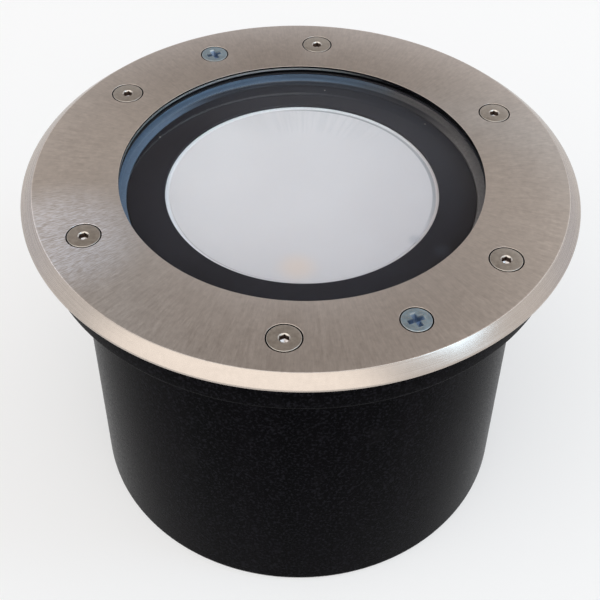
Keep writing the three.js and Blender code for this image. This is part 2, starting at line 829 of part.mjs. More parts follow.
// Light source
addPiece('body_housing', bodyHousing(), castBlack());
addPiece('thermal_pad', block(boardSide, boardSide, deckTop + seatGap, padTop), greyPad());
addPiece('cob_board', block(boardSide, boardSide, padTop + seatGap, boardTop), boardAluminium());
addPiece('cob_emitter', bar(emitterRadius, emitterBase, emitterBase + emitterThickness), phosphor());
addPiece('led_holder', ledHolder(), whitePlastic());
holderScrewDegrees.forEach((degrees, i) => {
  const length = holderHeight + holderScrewGrip - holderScrewHeadHeight - sideGap;
  const screw = panScrew(holderScrewRadius, holderScrewHeadRadius, holderScrewHeadHeight, length);
  const mesh = addPiece(`holder_screw_${i + 1}`, screw.rotateX(Math.PI), screwSteel());
  setOnCircle(mesh, holderScrewPitch, degrees, holderTop - holderScrewHeadHeight);
});
addPiece('reflector', reflector(), brightMetal());

// Driver
addPiece('driver_board', driverBoard(), circuitGreen());
addPiece('driver_coil', driverCoil(), windingYellow());
capacitorPlaceShares.forEach((placeShares, i) => {
  addPiece(`driver_capacitor_${i + 1}`, driverCapacitor(placeShares), capacitorBlack());
});
addPiece('terminal_block', terminalBlock(), terminalGreen());
postDegrees.forEach((degrees, i) => {
  const length = driverThickness + driverScrewGrip - driverScrewSpare + sideGap;
  const screw = panScrew(driverScrewRadius, driverScrewHeadRadius, driverScrewHeadHeight, length);
  const mesh = addPiece(`driver_screw_${i + 1}`, screw, screwSteel());
  setOnCircle(mesh, postPitch, degrees, driverUnder - seatGap);
});
addPiece('led_wire_red', ledWire(wireDegrees[0]), wireRed());
addPiece('led_wire_black', ledWire(wireDegrees[1]), wireBlack());

// Rear cover and cable gland
addPiece('rear_cover', rearCover(), castBlack());
addPiece('rear_seal', rearSeal(), sealBlack());
coverScrewDirections.forEach((degrees, i) => {
  const length = coverScrewGrip + coverThickness + 2 * seatGap;
  const screw = panScrew(coverScrewRadius, coverScrewHeadRadius, coverScrewHeadHeight, length);
  const driven = socketed(screw, coverScrewSocketAcross, coverScrewHeadHeight, coverScrewSocketDepth);
  const mesh = addPiece(`rear_cover_screw_${i + 1}`, driven, screwSteel());
  setOnCircle(mesh, coverScrewPitch, degrees, coverUnder - seatGap);
});
addPiece('gland_body', glandBody(), blackPlastic());
const glandSeal = tube(glandSealBore, glandSealRadius, glandEnd, glandEnd + glandSealHeight, smallSides);
addPiece('gland_seal', glandSeal, sealBlack());
addPiece('gland_nut', glandNut(), blackPlastic());

export default uplight;
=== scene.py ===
import json
import math

import bmesh
import bpy
from mathutils import Matrix, Vector


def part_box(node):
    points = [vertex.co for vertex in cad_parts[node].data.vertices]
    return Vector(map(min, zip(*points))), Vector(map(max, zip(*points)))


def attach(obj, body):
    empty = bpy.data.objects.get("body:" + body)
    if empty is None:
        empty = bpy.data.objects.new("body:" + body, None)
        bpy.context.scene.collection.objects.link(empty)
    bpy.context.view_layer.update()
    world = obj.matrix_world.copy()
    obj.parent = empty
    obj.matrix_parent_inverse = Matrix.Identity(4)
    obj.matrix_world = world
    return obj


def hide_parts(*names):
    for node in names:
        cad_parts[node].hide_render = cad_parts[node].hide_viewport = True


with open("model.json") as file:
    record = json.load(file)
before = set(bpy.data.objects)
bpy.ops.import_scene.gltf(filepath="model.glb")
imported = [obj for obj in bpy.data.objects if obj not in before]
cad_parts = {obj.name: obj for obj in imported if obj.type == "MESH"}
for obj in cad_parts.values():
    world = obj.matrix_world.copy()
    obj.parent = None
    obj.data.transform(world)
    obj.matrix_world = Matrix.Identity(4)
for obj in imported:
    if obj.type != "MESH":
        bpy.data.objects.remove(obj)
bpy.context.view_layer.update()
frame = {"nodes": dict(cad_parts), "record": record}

# The part's lengths are in millimetres until its meshes are made; the surroundings are in metres.
MM = 0.001
WELD_DISTANCE = 0.0001
OVERRUN = 1.0
SEAT_GAP = 0.1
SIDE_GAP = 0.3

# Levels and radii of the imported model, read from its nodes
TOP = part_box("bezel_ring")[1].z / MM
BEZEL_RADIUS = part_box("bezel_ring")[1].x / MM
RIM_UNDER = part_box("bezel_ring")[0].z / MM
GLASS_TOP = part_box("front_glass")[1].z / MM
GLASS_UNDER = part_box("front_glass")[0].z / MM
GLASS_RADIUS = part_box("front_glass")[1].x / MM
GASKET_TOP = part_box("glass_gasket")[1].z / MM
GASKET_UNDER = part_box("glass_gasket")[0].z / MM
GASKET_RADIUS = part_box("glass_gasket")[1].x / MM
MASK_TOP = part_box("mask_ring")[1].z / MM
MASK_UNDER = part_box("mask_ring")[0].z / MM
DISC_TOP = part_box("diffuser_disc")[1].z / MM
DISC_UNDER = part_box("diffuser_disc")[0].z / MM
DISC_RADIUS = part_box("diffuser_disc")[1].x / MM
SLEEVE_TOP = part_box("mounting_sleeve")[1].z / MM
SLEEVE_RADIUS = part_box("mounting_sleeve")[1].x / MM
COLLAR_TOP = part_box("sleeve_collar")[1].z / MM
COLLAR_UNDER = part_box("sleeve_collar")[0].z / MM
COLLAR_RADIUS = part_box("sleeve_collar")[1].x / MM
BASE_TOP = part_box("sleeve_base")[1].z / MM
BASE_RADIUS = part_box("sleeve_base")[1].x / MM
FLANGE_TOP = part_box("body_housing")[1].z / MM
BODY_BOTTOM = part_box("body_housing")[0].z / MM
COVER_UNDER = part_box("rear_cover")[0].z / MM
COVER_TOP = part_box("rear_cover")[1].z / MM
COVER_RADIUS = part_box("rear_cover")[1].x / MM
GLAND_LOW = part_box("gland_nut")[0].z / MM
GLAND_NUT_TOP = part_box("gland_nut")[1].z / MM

# Bezel
OPENING_RADIUS = 59.2
OPENING_WALL = 1.5
OPENING_RELIEF = 0.8
TOP_FACE_RADIUS = 86.2
BEZEL_THICKNESS = 3.0
BEVEL_LAND = 0.6
RIM_INNER_RADIUS = 85.5
PITCH_RADIUS = 73.7
HEX_DIRECTIONS = [87 + 60 * i for i in range(6)]
CROSS_DIRECTIONS = [117, 297]

# Screws in the bezel
HEX_HEAD_RADIUS = 5.15
CROSS_HEAD_RADIUS = 4.7
HEAD_RIM = 0.35
HEAD_EASE = 0.12
SHANK_RADIUS = 2.5
SHANK_HOLE_RADIUS = 2.8
HOLE_EDGE = 0.08
HEX_SOCKET_ACROSS = 2.85
HEX_SOCKET_DEPTH = 1.9
SOCKET_MOUTH = 0.38
SOCKET_POINT = 0.95
DRILL_SHARE = 0.95
RECESS_REACH = 2.95
THREAD_PITCH = 0.8
THREAD_DEPTH = 0.35
CROSS_RECESS_DEPTH = 1.9
CROSS_ARM_TOP = 0.2
CROSS_MOUTH_LENGTH = 5.9
CROSS_MOUTH_WIDTH = 1.8
CROSS_FLOOR_LENGTH = 3.41
CROSS_FLOOR_WIDTH = 1.125
CROSS_CENTRE_RADIUS = 1.6
CROSS_CENTRE_LOW_RADIUS = 0.7
CROSS_CENTRE_RISE = 0.3
CROSS_CENTRE_POINT = 0.4
CROSS_TURN = -1

# Window
MASK_INNER_RADIUS = 44.9
MASK_OUTER_RADIUS = 57.0
GROOVE_RADIUS = 43.4
GROOVE_WIDTH = 0.5
GROOVE_DEPTH = 0.15

# Reflector
BOWL_SIDES = 24
BOWL_STEPS = 7
BOWL_THROAT_RADIUS = 11.0
BOWL_MOUTH_RADIUS = 46.0
BOWL_RIM_RADIUS = 50.5
BOWL_RIM_HEIGHT = 1.5
BOWL_WALL = 1.2
BOWL_FOOT = 2.0

# Body housing
FLANGE_RADIUS = 81.0
BODY_RADIUS = 56.0
BODY_BORE = 52.0
CHAMBER_BORE = 48.0
NECK_RADIUS = 66.0
RECESS_RADIUS = 65.0
FLANGE_UNDER = 114.9
LEDGE_TOP = 113.8
NECK_UNDER = 110.8
FLARE_UNDER = 103.8
DECK_TOP = 77.0
DECK_UNDER = 72.0
FIN_COUNT = 20
FIN_REACH = 63.0
FIN_LOW = 52.0
FIN_HIGH = 107.3
FIN_ROOT = 2.2
FIN_TIP = 1.5
FIN_BEVEL = 2.0
FIN_SHOULDER = 1.0
HOLDER_SCREW_PITCH = 17.44
HOLDER_SCREW_DIRECTIONS = [90, 270]
HOLDER_SCREW_HOLE_RADIUS = 1.55
HOLDER_SCREW_HOLE_DEPTH = 3.6
WIRE_HOLE_PITCH = 27.24
WIRE_HOLE_DIRECTIONS = [-9, 9]
WIRE_HOLE_RADIUS = 2.0
POST_PITCH = 36.0
POST_DIRECTIONS = [90, 210, 330]
POST_RADIUS = 3.4
POST_LOW = 67.0
POST_OVERLAP = 0.5
POST_HOLE_RADIUS = 1.8
POST_HOLE_TOP = 70.8

# Rear cover and its screws
COVER_BORE = 8.2
COVER_RING_INNER = 28.0
COVER_RING_OUTER = 31.0
COVER_RING_DEPTH = 0.5
SEAL_GROOVE_TOP = 1.2
SEAL_GROOVE_UNDER = 3.4
SEAL_GROOVE_DEPTH = 1.6
COVER_SCREW_PITCH = 52.0
COVER_SCREW_DIRECTIONS = [45 + 90 * i for i in range(4)]
COVER_SCREW_HOLE_RADIUS = 2.3
COVER_SCREW_HOLE_DEPTH = 8.2
COVER_SCREW_RADIUS = 2.0
COVER_SCREW_TIP = 0.5
COVER_HEAD_RADIUS = 3.6
COVER_HEAD_END_RADIUS = 3.5
COVER_SOCKET_ACROSS = 3.0
COVER_SOCKET_DEPTH = 1.4
COVER_SOCKET_POINT = 0.4

# Cable gland
GLAND_HEX_RADIUS = 11.5
GLAND_HEX_HEIGHT = 5.0
GLAND_HEX_EDGE = 0.9
GLAND_EDGE_SLOPE = 0.6
GLAND_OVERLAP = 0.5
GLAND_THREAD_RADIUS = 7.9
GLAND_SPIGOT_RADIUS = 7.4
GLAND_BORE_RADIUS = 4.2
GLAND_POCKET_RADIUS = 5.9
GLAND_POCKET_DEPTH = 6.3
GLAND_NUT_RADIUS = 11.0
GLAND_NUT_EDGE = 0.8
GLAND_NUT_OVERLAP = 0.1
GLAND_NUT_BORE_RADIUS = 7.7
GLAND_NUT_FLOOR = 4.5
GLAND_DOME_LOW_RADIUS = 6.6
GLAND_DOME_RADIUS = 9.2
GLAND_DOME_HEIGHT = 3.2

# Sleeve, its collar and base
SHELF_BORE = 67.2
COLLAR_BORE = 81.3
SHOULDER_TOP = 114.8
INSERT_HOLE_RADIUS = 4.2
INSERT_FLOOR = 109.2
DRAIN_RADIUS = 12.0
ENTRY_RADIUS = 11.0
ENTRY_LEVEL = 22.0
ENTRY_DIRECTIONS = [87, 147]

# Facets round a full turn
RING_SIDES = 240
BODY_SIDES = 128
SCREW_SIDES = 48
SMALL_SIDES = 24

# Angles in degrees above which an edge is shaded sharp
SHARP = 28
SHARP_SCREW = 24
SHARP_FACET = 5


# Meshes

def filleted(points, steps=3):
    """Profile points (radius, height, fillet) with each filleted corner as a short curve."""
    outline = []
    count = len(points)
    for i, (radius, height, fillet) in enumerate(points):
        corner = Vector((radius, height))
        if not fillet:
            outline.append(corner)
            continue
        before = Vector(points[i - 1][:2])
        after = Vector(points[(i + 1) % count][:2])
        start = corner + (before - corner).normalized() * fillet
        end = corner + (after - corner).normalized() * fillet
        for k in range(steps + 1):
            t = k / steps
            outline.append((1 - t) ** 2 * start + 2 * t * (1 - t) * corner + t ** 2 * end)
    return [(p.x, p.y) for p in outline]


def turned(profile, sides=RING_SIDES):
    """A solid of revolution; a profile that leaves the axis alone encloses a hollow middle."""
    bm = bmesh.new()
    rings = []
    for radius, height in profile:
        if radius == 0:
            rings.append([bm.verts.new((0, 0, height))])
            continue
        angles = [2 * math.pi * i / sides for i in range(sides)]
        rings.append([bm.verts.new((radius * math.cos(a), radius * math.sin(a), height)) for a in angles])
    closed = min(radius for radius, _ in profile) > 0
    following = rings[1:] + rings[:1] if closed else rings[1:]
    for lower, upper in zip(rings, following):
        for i in range(sides):
            corners = [ring[k % len(ring)] for ring, k in
                       ((lower, i), (lower, (i + 1) % sides), (upper, (i + 1) % sides), (upper, i))]
            corners = list(dict.fromkeys(corners))
            if len(corners) > 2:
                bm.faces.new(corners)
    bmesh.ops.recalc_face_normals(bm, faces=bm.faces)
    return bm


def bar(radius, bottom, top, sides=SCREW_SIDES):
    """A round bar from one level to another."""
    return turned([(0, bottom), (radius, bottom), (radius, top), (0, top)], sides)


def hull(corners):
    """The convex solid round a few points."""
    bm = bmesh.new()
    bmesh.ops.convex_hull(bm, input=[bm.verts.new(corner) for corner in corners])
    return bm


def wedge(length, width, bottom, top, low_length, low_width):
    """A block between two levels, shorter and narrower at its lower end."""
    signs = ((-1, -1), (1, -1), (1, 1), (-1, 1))
    low = [(x * low_length / 2, y * low_width / 2, bottom) for x, y in signs]
    high = [(x * length / 2, y * width / 2, top) for x, y in signs]
    return hull(low + high)


def moved(bm, matrix):
    """A shape carried by a matrix."""
    bmesh.ops.transform(bm, matrix=matrix, verts=bm.verts)
    return bm


def placed(bm, radius, degrees, level=0.0):
    """Shifts a shape along +X and up, then turns it about +Z."""
    turn = Matrix.Rotation(math.radians(degrees), 4, "Z")
    return moved(bm, turn @ Matrix.Translation((radius, 0, level)))


def merged(shapes):
    """Several shapes as one mesh."""
    whole = bmesh.new()
    for shape in shapes:
        mesh = bpy.data.meshes.new("part")
        shape.to_mesh(mesh)
        shape.free()
        whole.from_mesh(mesh)
        bpy.data.meshes.remove(mesh)
    return whole


def add_object(name, data):
    """A new object in the scene."""
    obj = bpy.data.objects.new(name, data)
    bpy.context.scene.collection.objects.link(obj)
    return obj


def add_shape(name, bm):
    """A shape as an object in the scene, in the shape's own unit."""
    mesh = bpy.data.meshes.new(name)
    bm.to_mesh(mesh)
    bm.free()
    return add_object(name, mesh)


def combined(bm, tool, operation):
    """Two shapes as one by a boolean operation."""
    target = add_shape("target", bm)
    cutter = add_shape("cutter", tool)
    modifier = target.modifiers.new("combine", "BOOLEAN")
    modifier.operation = operation
    modifier.solver = "EXACT"
    modifier.object = cutter
    bpy.context.view_layer.update()
    evaluated = target.evaluated_get(bpy.context.evaluated_depsgraph_get())
    result = bmesh.new()
    result.from_mesh(evaluated.to_mesh())
    evaluated.to_mesh_clear()
    for obj in (target, cutter):
        mesh = obj.data
        bpy.data.objects.remove(obj)
        bpy.data.meshes.remove(mesh)
    bmesh.ops.remove_doubles(result, verts=result.verts, dist=WELD_DISTANCE)
    return result


def carved(bm, tool):
    """A shape with another cut out of it."""
    return combined(bm, tool, "DIFFERENCE")


def joined(bm, tool):
    """A shape grown together with another."""
    return combined(bm, tool, "UNION")


def add_piece(name, bm, nodes, slot, sharp=SHARP, body="fixture"):
    """Puts a shape in the scene in place of CAD nodes, with its slot's finish."""
    piece = add_shape(name, bm)
    mesh = piece.data
    mesh.transform(Matrix.Scale(MM, 4))
    mesh.shade_smooth()
    mesh.set_sharp_from_angle(angle=math.radians(sharp))
    mesh.materials.append(finishes[slot])
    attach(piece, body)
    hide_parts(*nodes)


# Node materials

def toward(azimuth, elevation=0.0):
    """The unit vector of a direction given in degrees."""
    a, e = math.radians(azimuth), math.radians(elevation)
    return Vector((math.cos(a) * math.cos(e), math.sin(a) * math.cos(e), math.sin(e)))


def cosine(degrees):
    """The cosine of an angle in degrees."""
    return math.cos(math.radians(degrees))


class Wiring:
    """Adds nodes to a node tree and links them."""

    def __init__(self, tree):
        self.nodes, self.links = tree.nodes, tree.links

    def node(self, kind, inputs=None, **settings):
        node = self.nodes.new(kind)
        for setting, value in settings.items():
            setattr(node, setting, value)
        for socket, value in (inputs or {}).items():
            if isinstance(value, bpy.types.NodeSocket):
                self.links.new(value, node.inputs[socket])
            else:
                node.inputs[socket].default_value = value
        return node

    def math(self, operation, *values):
        return self.node("ShaderNodeMath", dict(enumerate(values)), operation=operation).outputs[0]

    def product(self, *values):
        """All the values multiplied."""
        result = values[0]
        for value in values[1:]:
            result = self.math("MULTIPLY", result, value)
        return result

    def remap(self, value, low, high, to_low=0.0, to_high=1.0, kind="LINEAR"):
        """A value carried from one range to another, and held at its ends."""
        inputs = {"Value": value, "From Min": low, "From Max": high, "To Min": to_low, "To Max": to_high}
        return self.node("ShaderNodeMapRange", inputs, interpolation_type=kind).outputs["Result"]

    def smooth(self, value, low, high):
        """0 at low and 1 at high, with soft ends; low may be the greater."""
        return self.remap(value, low, high, kind="SMOOTHSTEP")

    def window(self, value, low, high, soft):
        """1 between low and high, 0 outside, over soft edges."""
        return self.product(self.smooth(value, low - soft, low), self.smooth(value, high + soft, high))

    def mix(self, factor, first, second):
        """A colour between two colours by a factor; a colour is a socket or three channels."""
        ends = [end if isinstance(end, bpy.types.NodeSocket) else (*end, 1.0) for end in (first, second)]
        inputs = {0: factor, 6: ends[0], 7: ends[1]}
        return self.node("ShaderNodeMix", inputs, data_type="RGBA").outputs[2]

    def vectors(self, operation, *values):
        """The outputs of an operation on vectors."""
        return self.node("ShaderNodeVectorMath", dict(enumerate(values)), operation=operation).outputs

    def dot(self, vector, direction):
        return self.vectors("DOT_PRODUCT", vector, tuple(direction))["Value"]

    def facing(self, vector, direction, outer, inner):
        """1 within inner degrees of a direction and 0 beyond outer degrees, for a unit vector."""
        return self.smooth(self.dot(vector, direction), cosine(outer), cosine(inner))

    def flattened(self, vector):
        """The vector without its height."""
        return self.vectors("MULTIPLY", vector, (1.0, 1.0, 0.0))[0]

    def unit(self, vector):
        return self.vectors("NORMALIZE", vector)[0]

    def height(self, vector):
        return self.node("ShaderNodeSeparateXYZ", {0: vector}).outputs["Z"]


class Finish(Wiring):
    """A node material round one Principled shader."""

    def __init__(self, name, **sockets):
        self.material = bpy.data.materials.new(name)
        self.material.use_nodes = True
        super().__init__(self.material.node_tree)
        self.shader = self.nodes["Principled BSDF"]
        for socket, value in sockets.items():
            self.shader.inputs[socket.replace("_", " ")].default_value = value
        self.place = self.node("ShaderNodeTexCoord").outputs["Object"]

    def noise(self, scale, detail=2.0, vector=None):
        inputs = {"Vector": vector or self.place, "Scale": scale, "Detail": detail}
        return self.node("ShaderNodeTexNoise", inputs).outputs["Fac"]

    def spots(self, scale, size):
        """Scattered round specks: 1 inside a speck and 0 between them."""
        cells = self.node("ShaderNodeTexVoronoi", {"Vector": self.place, "Scale": scale})
        pick = self.node("ShaderNodeSeparateColor", {"Color": cells.outputs["Color"]}).outputs[0]
        return self.math("LESS_THAN", cells.outputs["Distance"], self.math("MULTIPLY", pick, size))

    def rough(self, noise, low, high):
        """A roughness that follows a noise."""
        return self.remap(noise, 0.3, 0.7, low, high)

    def bump(self, height, distance, strength=1.0):
        """The normal of a relief whose distance is in millimetres."""
        inputs = {"Height": height, "Distance": distance * MM, "Strength": strength}
        return self.node("ShaderNodeBump", inputs).outputs["Normal"]

    def drive(self, socket, value):
        """Links a value to a socket of the shader."""
        self.links.new(value, self.shader.inputs[socket])

    def coated(self, color, roughness, normal):
        """The material with its colour, roughness and normal linked."""
        self.drive("Base Color", color)
        self.drive("Roughness", roughness)
        self.drive("Normal", normal)
        return self.material

    def shared(self, factor, other):
        """Gives another shader its share of the surface."""
        blend = self.node("ShaderNodeMixShader", {0: factor, 1: self.shader.outputs[0], 2: other})
        self.links.new(blend.outputs[0], self.nodes["Material Output"].inputs["Surface"])

    def polar(self):
        """The unit direction from the object's axis, and the distance from it in millimetres."""
        flat = self.flattened(self.place)
        return self.unit(flat), self.math("DIVIDE", self.vectors("LENGTH", flat)["Value"], MM)

    def level(self):
        """The height in millimetres."""
        return self.math("DIVIDE", self.height(self.place), MM)

    def along_radius(self, turns, per_mm):
        """A vector that changes by turns round the axis and by per_mm along the radius."""
        direction, radius = self.polar()
        scaled = self.vectors("MULTIPLY", direction, (turns, turns, turns))[0]
        lift = self.node("ShaderNodeCombineXYZ", {"Z": self.math("MULTIPLY", radius, per_mm)}).outputs[0]
        return self.vectors("ADD", scaled, lift)[0]

    def near(self, x, y, z, reach, soft):
        """1 close to a point in millimetres, fading to 0 over a soft edge."""
        away = self.vectors("DISTANCE", self.place, (x * MM, y * MM, z * MM))["Value"]
        return self.smooth(away, (reach + soft) * MM, reach * MM)


def tint(color, share):
    """A colour made lighter or darker by a share."""
    return tuple(channel * share for channel in color)


def plain_finish(name, color, spread, patch, grain, roughness, rough_spread, bump, **sockets):
    """Colour that drifts in patches, with fine grain in its roughness and relief."""
    finish = Finish(name, **sockets)
    patches = finish.noise(patch, 3.0)
    fine = finish.noise(grain, 2.0)
    both = finish.math("ADD", finish.product(patches, 0.6), finish.product(fine, 0.4))
    drifted = finish.mix(finish.remap(both, 0.3, 0.7), tint(color, 1 - spread), tint(color, 1 + spread))
    rough = finish.rough(both, roughness - rough_spread, roughness + rough_spread)
    return finish.coated(drifted, rough, finish.bump(fine, bump))


STEEL = (0.635, 0.558, 0.495)
STEEL_STAIN = (0.525, 0.452, 0.395)


def bezel_finish():
    """Stainless steel brushed along the radius, with a turned bevel and painted light: a highlight patch on
    the front left, shade in the countersinks, and the opening's wall painted black as shade with a highlight
    band.
    """
    finish = Finish("bezel_steel", Metallic=1.0, Anisotropic=0.75)
    direction, radius = finish.polar()
    level = finish.level()
    strokes = finish.noise(1.0, 3.0, finish.along_radius(120.0, 0.2))
    fine_strokes = finish.noise(1.0, 2.0, finish.along_radius(330.0, 0.5))
    turning = finish.noise(1.0, 2.0, finish.along_radius(2.0, 3.2))
    bevel = finish.math("GREATER_THAN", radius, TOP_FACE_RADIUS + 0.05)
    grain = finish.math("ADD", finish.product(strokes, 0.55), finish.product(fine_strokes, 0.45))
    lines = finish.node("ShaderNodeMix", {0: bevel, 2: grain, 3: turning}).outputs[0]
    mottle = finish.noise(700.0, 2.0)
    texture = finish.math("ADD", finish.product(lines, 0.66), finish.product(mottle, 0.34))
    share = finish.remap(texture, 0.35, 0.65)
    clouds = finish.remap(finish.noise(22.0, 3.0), 0.5, 0.75, 0.0, 0.45)
    light = finish.mix(share, tint(STEEL, 0.89), tint(STEEL, 1.09))
    stained = finish.mix(share, tint(STEEL_STAIN, 0.89), tint(STEEL_STAIN, 1.09))
    # A near-white patch on the front left of the top face, streaked along the brush strokes: a painted
    # highlight.
    rubbed_and_highlight = finish.product(
        finish.near(-73.0, -35.0, TOP, 8.0, 22.0), finish.remap(fine_strokes, 0.4, 0.6, 0.25, 1.0))
    flat_face = finish.mix(rubbed_and_highlight, finish.mix(clouds, light, stained), (0.96, 0.94, 0.97))
    turned_face = finish.mix(share, tint(STEEL, 0.74), tint(STEEL, 0.84))
    face = finish.mix(bevel, flat_face, turned_face)
    # The opening's wall is painted black as shade, with a near-white painted highlight band on its far-left
    # side.
    wall = finish.product(
        finish.smooth(radius, OPENING_RADIUS + 0.9, OPENING_RADIUS + 0.6),
        finish.smooth(level, TOP - 0.08, TOP - 0.14))
    bright = finish.product(
        finish.window(level, TOP - 1.55, TOP - 0.85, 0.1),
        finish.facing(direction, toward(135), 80, 8))
    wall_shade_and_highlight = finish.mix(bright, (0.012, 0.012, 0.016), (0.95, 1.0, 1.0))
    # The countersinks round the screw heads are painted dark: painted shade.
    holes_inner, holes_outer = PITCH_RADIUS - 6.7, PITCH_RADIUS + 6.3
    countersink_shade = finish.product(
        finish.window(radius, holes_inner, holes_outer, 0.5), finish.smooth(level, TOP - 0.06, TOP - 0.2))
    countersinks_shaded = finish.mix(countersink_shade, face, (0.02, 0.019, 0.02))
    brushed = finish.math("SUBTRACT", finish.rough(lines, 0.38, 0.48), finish.product(bevel, 0.16))
    tangent = finish.node("ShaderNodeTangent", direction_type="RADIAL", axis="Z").outputs[0]
    finish.drive("Tangent", tangent)
    finish.drive("Anisotropic Rotation", finish.product(bevel, 0.25))
    return finish.coated(finish.mix(wall, countersinks_shaded, wall_shade_and_highlight), brushed, finish.bump(lines, 0.012, 0.5))


def head_finish(name, color, spread, roughness, recess, floor, speck):
    """A screw head: fine marks, dull specks, a worn bright edge, a recess painted darker as shade, and a
    socket floor of its own colour, a painted highlight on the steel heads.
    """
    finish = Finish(name, Metallic=1.0)
    marks = finish.noise(900.0, 3.0)
    dull = finish.spots(1500.0, 0.5)
    level = finish.level()
    face = finish.mix(finish.remap(marks, 0.35, 0.65), tint(color, 1 - spread), tint(color, 1 + spread))
    speckled = finish.mix(finish.product(dull, 0.7), face, speck)
    worn = finish.window(level, TOP - 0.3, TOP - 0.04, 0.03)
    edged = finish.mix(finish.product(worn, 0.5), speckled, (0.6, 0.57, 0.54))
    # The recess walls take the recess colour, darker than the face: painted shade.
    recess_shaded = finish.mix(finish.window(level, TOP - RECESS_REACH, TOP - 0.6, 0.2), edged, recess)
    # The socket floor takes the floor colour: a pale painted highlight on the steel heads, and the recess's
    # painted shade on the zinc heads.
    bottom = finish.window(level, TOP - RECESS_REACH, TOP - HEX_SOCKET_DEPTH - 0.15, 0.15)
    floored = finish.mix(bottom, recess_shaded, floor)
    return finish.coated(floored, finish.rough(marks, *roughness), finish.bump(marks, 0.008))


def glass_finish():
    """Clear glass that lets lamp light through, with faint smears on it."""
    finish = Finish(
        "clear_glass", Transmission_Weight=1.0, IOR=1.48, Specular_Tint=(0.32, 0.32, 0.35, 1.0))
    smears = finish.noise(60.0, 4.0)
    finish.drive("Roughness", finish.remap(smears, 0.55, 0.8, 0.0, 0.04))
    finish.drive("Base Color", finish.mix(smears, (0.98, 0.985, 0.985), (0.99, 0.995, 0.995)))
    passing(finish, 0.985)
    return finish.material


def passing(finish, share):
    """Lets that share of lamp light through the material."""
    clear = finish.node("ShaderNodeBsdfTransparent", {"Color": (share, share, share, 1.0)}).outputs[0]
    finish.shared(finish.node("ShaderNodeLightPath").outputs["Is Shadow Ray"], clear)


def disc_finish():
    """Frosted white sheet with painted light: lighter towards the far left as painted shading, a pale lip
    there as a painted highlight, a grey groove arc, faint radial streaks from the reflector's facets and a
    grey spot as painted shade, and an orange-tinted painted glow.
    """
    finish = Finish("frosted_plastic", Specular_IOR_Level=0.2)
    direction, radius = finish.polar()
    cloud = finish.noise(30.0, 2.0)
    fine = finish.noise(1600.0, 2.0)
    across = finish.dot(direction, toward(130))
    # Lighter towards the far left and darker towards the near right: painted shading.
    side = finish.product(across, finish.smooth(radius, 0.0, DISC_RADIUS))
    shaded = finish.mix(finish.remap(side, -1.0, 1.0), (0.62, 0.56, 0.56), (0.98, 0.935, 0.93))
    drifted = finish.mix(finish.remap(cloud, 0.3, 0.7, 0.0, 0.5), shaded, (0.79, 0.745, 0.745))
    # Faint radial streaks near the far edge: painted shade of the reflector's facets.
    facet_shade = finish.remap(finish.noise(1.0, 1.0, finish.along_radius(30.0, 0.02)), 0.42, 0.58)
    far_edge = finish.product(
        finish.window(radius, 33.0, 42.5, 4.0), finish.facing(direction, toward(80), 50, 20))
    facet_shaded = finish.mix(finish.product(facet_shade, far_edge, 0.17), drifted, (0.62, 0.61, 0.62))
    # A grey arc in the groove on the far-right side: painted shade.
    line = finish.product(
        finish.window(radius, 42.9, 43.7, 0.3), finish.facing(direction, toward(38), 72, 38))
    groove_shaded = finish.mix(finish.product(line, 0.75), facet_shaded, (0.36, 0.35, 0.36))
    # A near-white lip on the far-left side: a painted highlight.
    lip = finish.product(finish.smooth(radius, 43.2, 44.4), finish.smooth(across, -0.5, 0.5))
    lipped = finish.mix(lip, groove_shaded, (0.97, 0.965, 0.975))
    # An orange-tinted spot near the front: a painted glow of the phosphor under the sheet.
    painted_glow = finish.near(-1.0, -37.0, DISC_TOP, 1.0, 7.5)
    with_painted_glow = finish.mix(finish.product(painted_glow, 0.6), lipped, (0.83, 0.65, 0.54))
    # A grey spot near the right front edge: painted shade.
    grey_shade_spot = finish.near(36.0, -23.5, DISC_TOP, 0.5, 3.0)
    shade_spotted = finish.mix(finish.product(grey_shade_spot, 0.35), with_painted_glow, (0.3, 0.31, 0.35))
    passing(finish, 0.5)
    return finish.coated(shade_spotted, finish.rough(fine, 0.5, 0.6), finish.bump(fine, 0.01))


# Specks of dust on the mask: x, y and radius
DUST_SPECKS = [(-49.4, 24.5, 0.28), (42.3, 35.2, 0.2), (7.0, 54.0, 0.22)]


def mask_finish():
    """Fine matte black moulding, greyer on its far side as a painted reflection, with a smear and a little
    dust.
    """
    finish = Finish("mask_plastic", Specular_IOR_Level=0.2)
    fine = finish.noise(1500.0, 3.0)
    cloud = finish.noise(35.0, 2.0)
    near_side = finish.mix(
        finish.remap(cloud, 0.35, 0.65), (0.0108, 0.0104, 0.015), (0.0142, 0.0138, 0.0195))
    direction, _ = finish.polar()
    # Greyer towards the far side: a painted reflection.
    far_reflection = finish.facing(direction, toward(62), 90, 20)
    body = finish.mix(far_reflection, near_side, (0.035, 0.0355, 0.043))
    speckled = finish.mix(finish.remap(fine, 0.5, 0.75, 0.0, 0.4), body, (0.034, 0.032, 0.039))
    smear = finish.product(
        finish.near(44.1, -29.5, MASK_TOP, 0.3, 4.0), finish.remap(cloud, 0.4, 0.6, 0.3, 0.7))
    smeared = finish.mix(smear, speckled, (0.07, 0.075, 0.1))
    dust = finish.spots(95.0, 0.04)
    for x, y, radius in DUST_SPECKS:
        dust = finish.math("MAXIMUM", dust, finish.near(x, y, MASK_TOP, radius, 0.1))
    dusty = finish.mix(finish.product(dust, 0.8), smeared, (0.36, 0.33, 0.28))
    return finish.coated(dusty, finish.rough(fine, 0.5, 0.65), finish.bump(fine, 0.018))


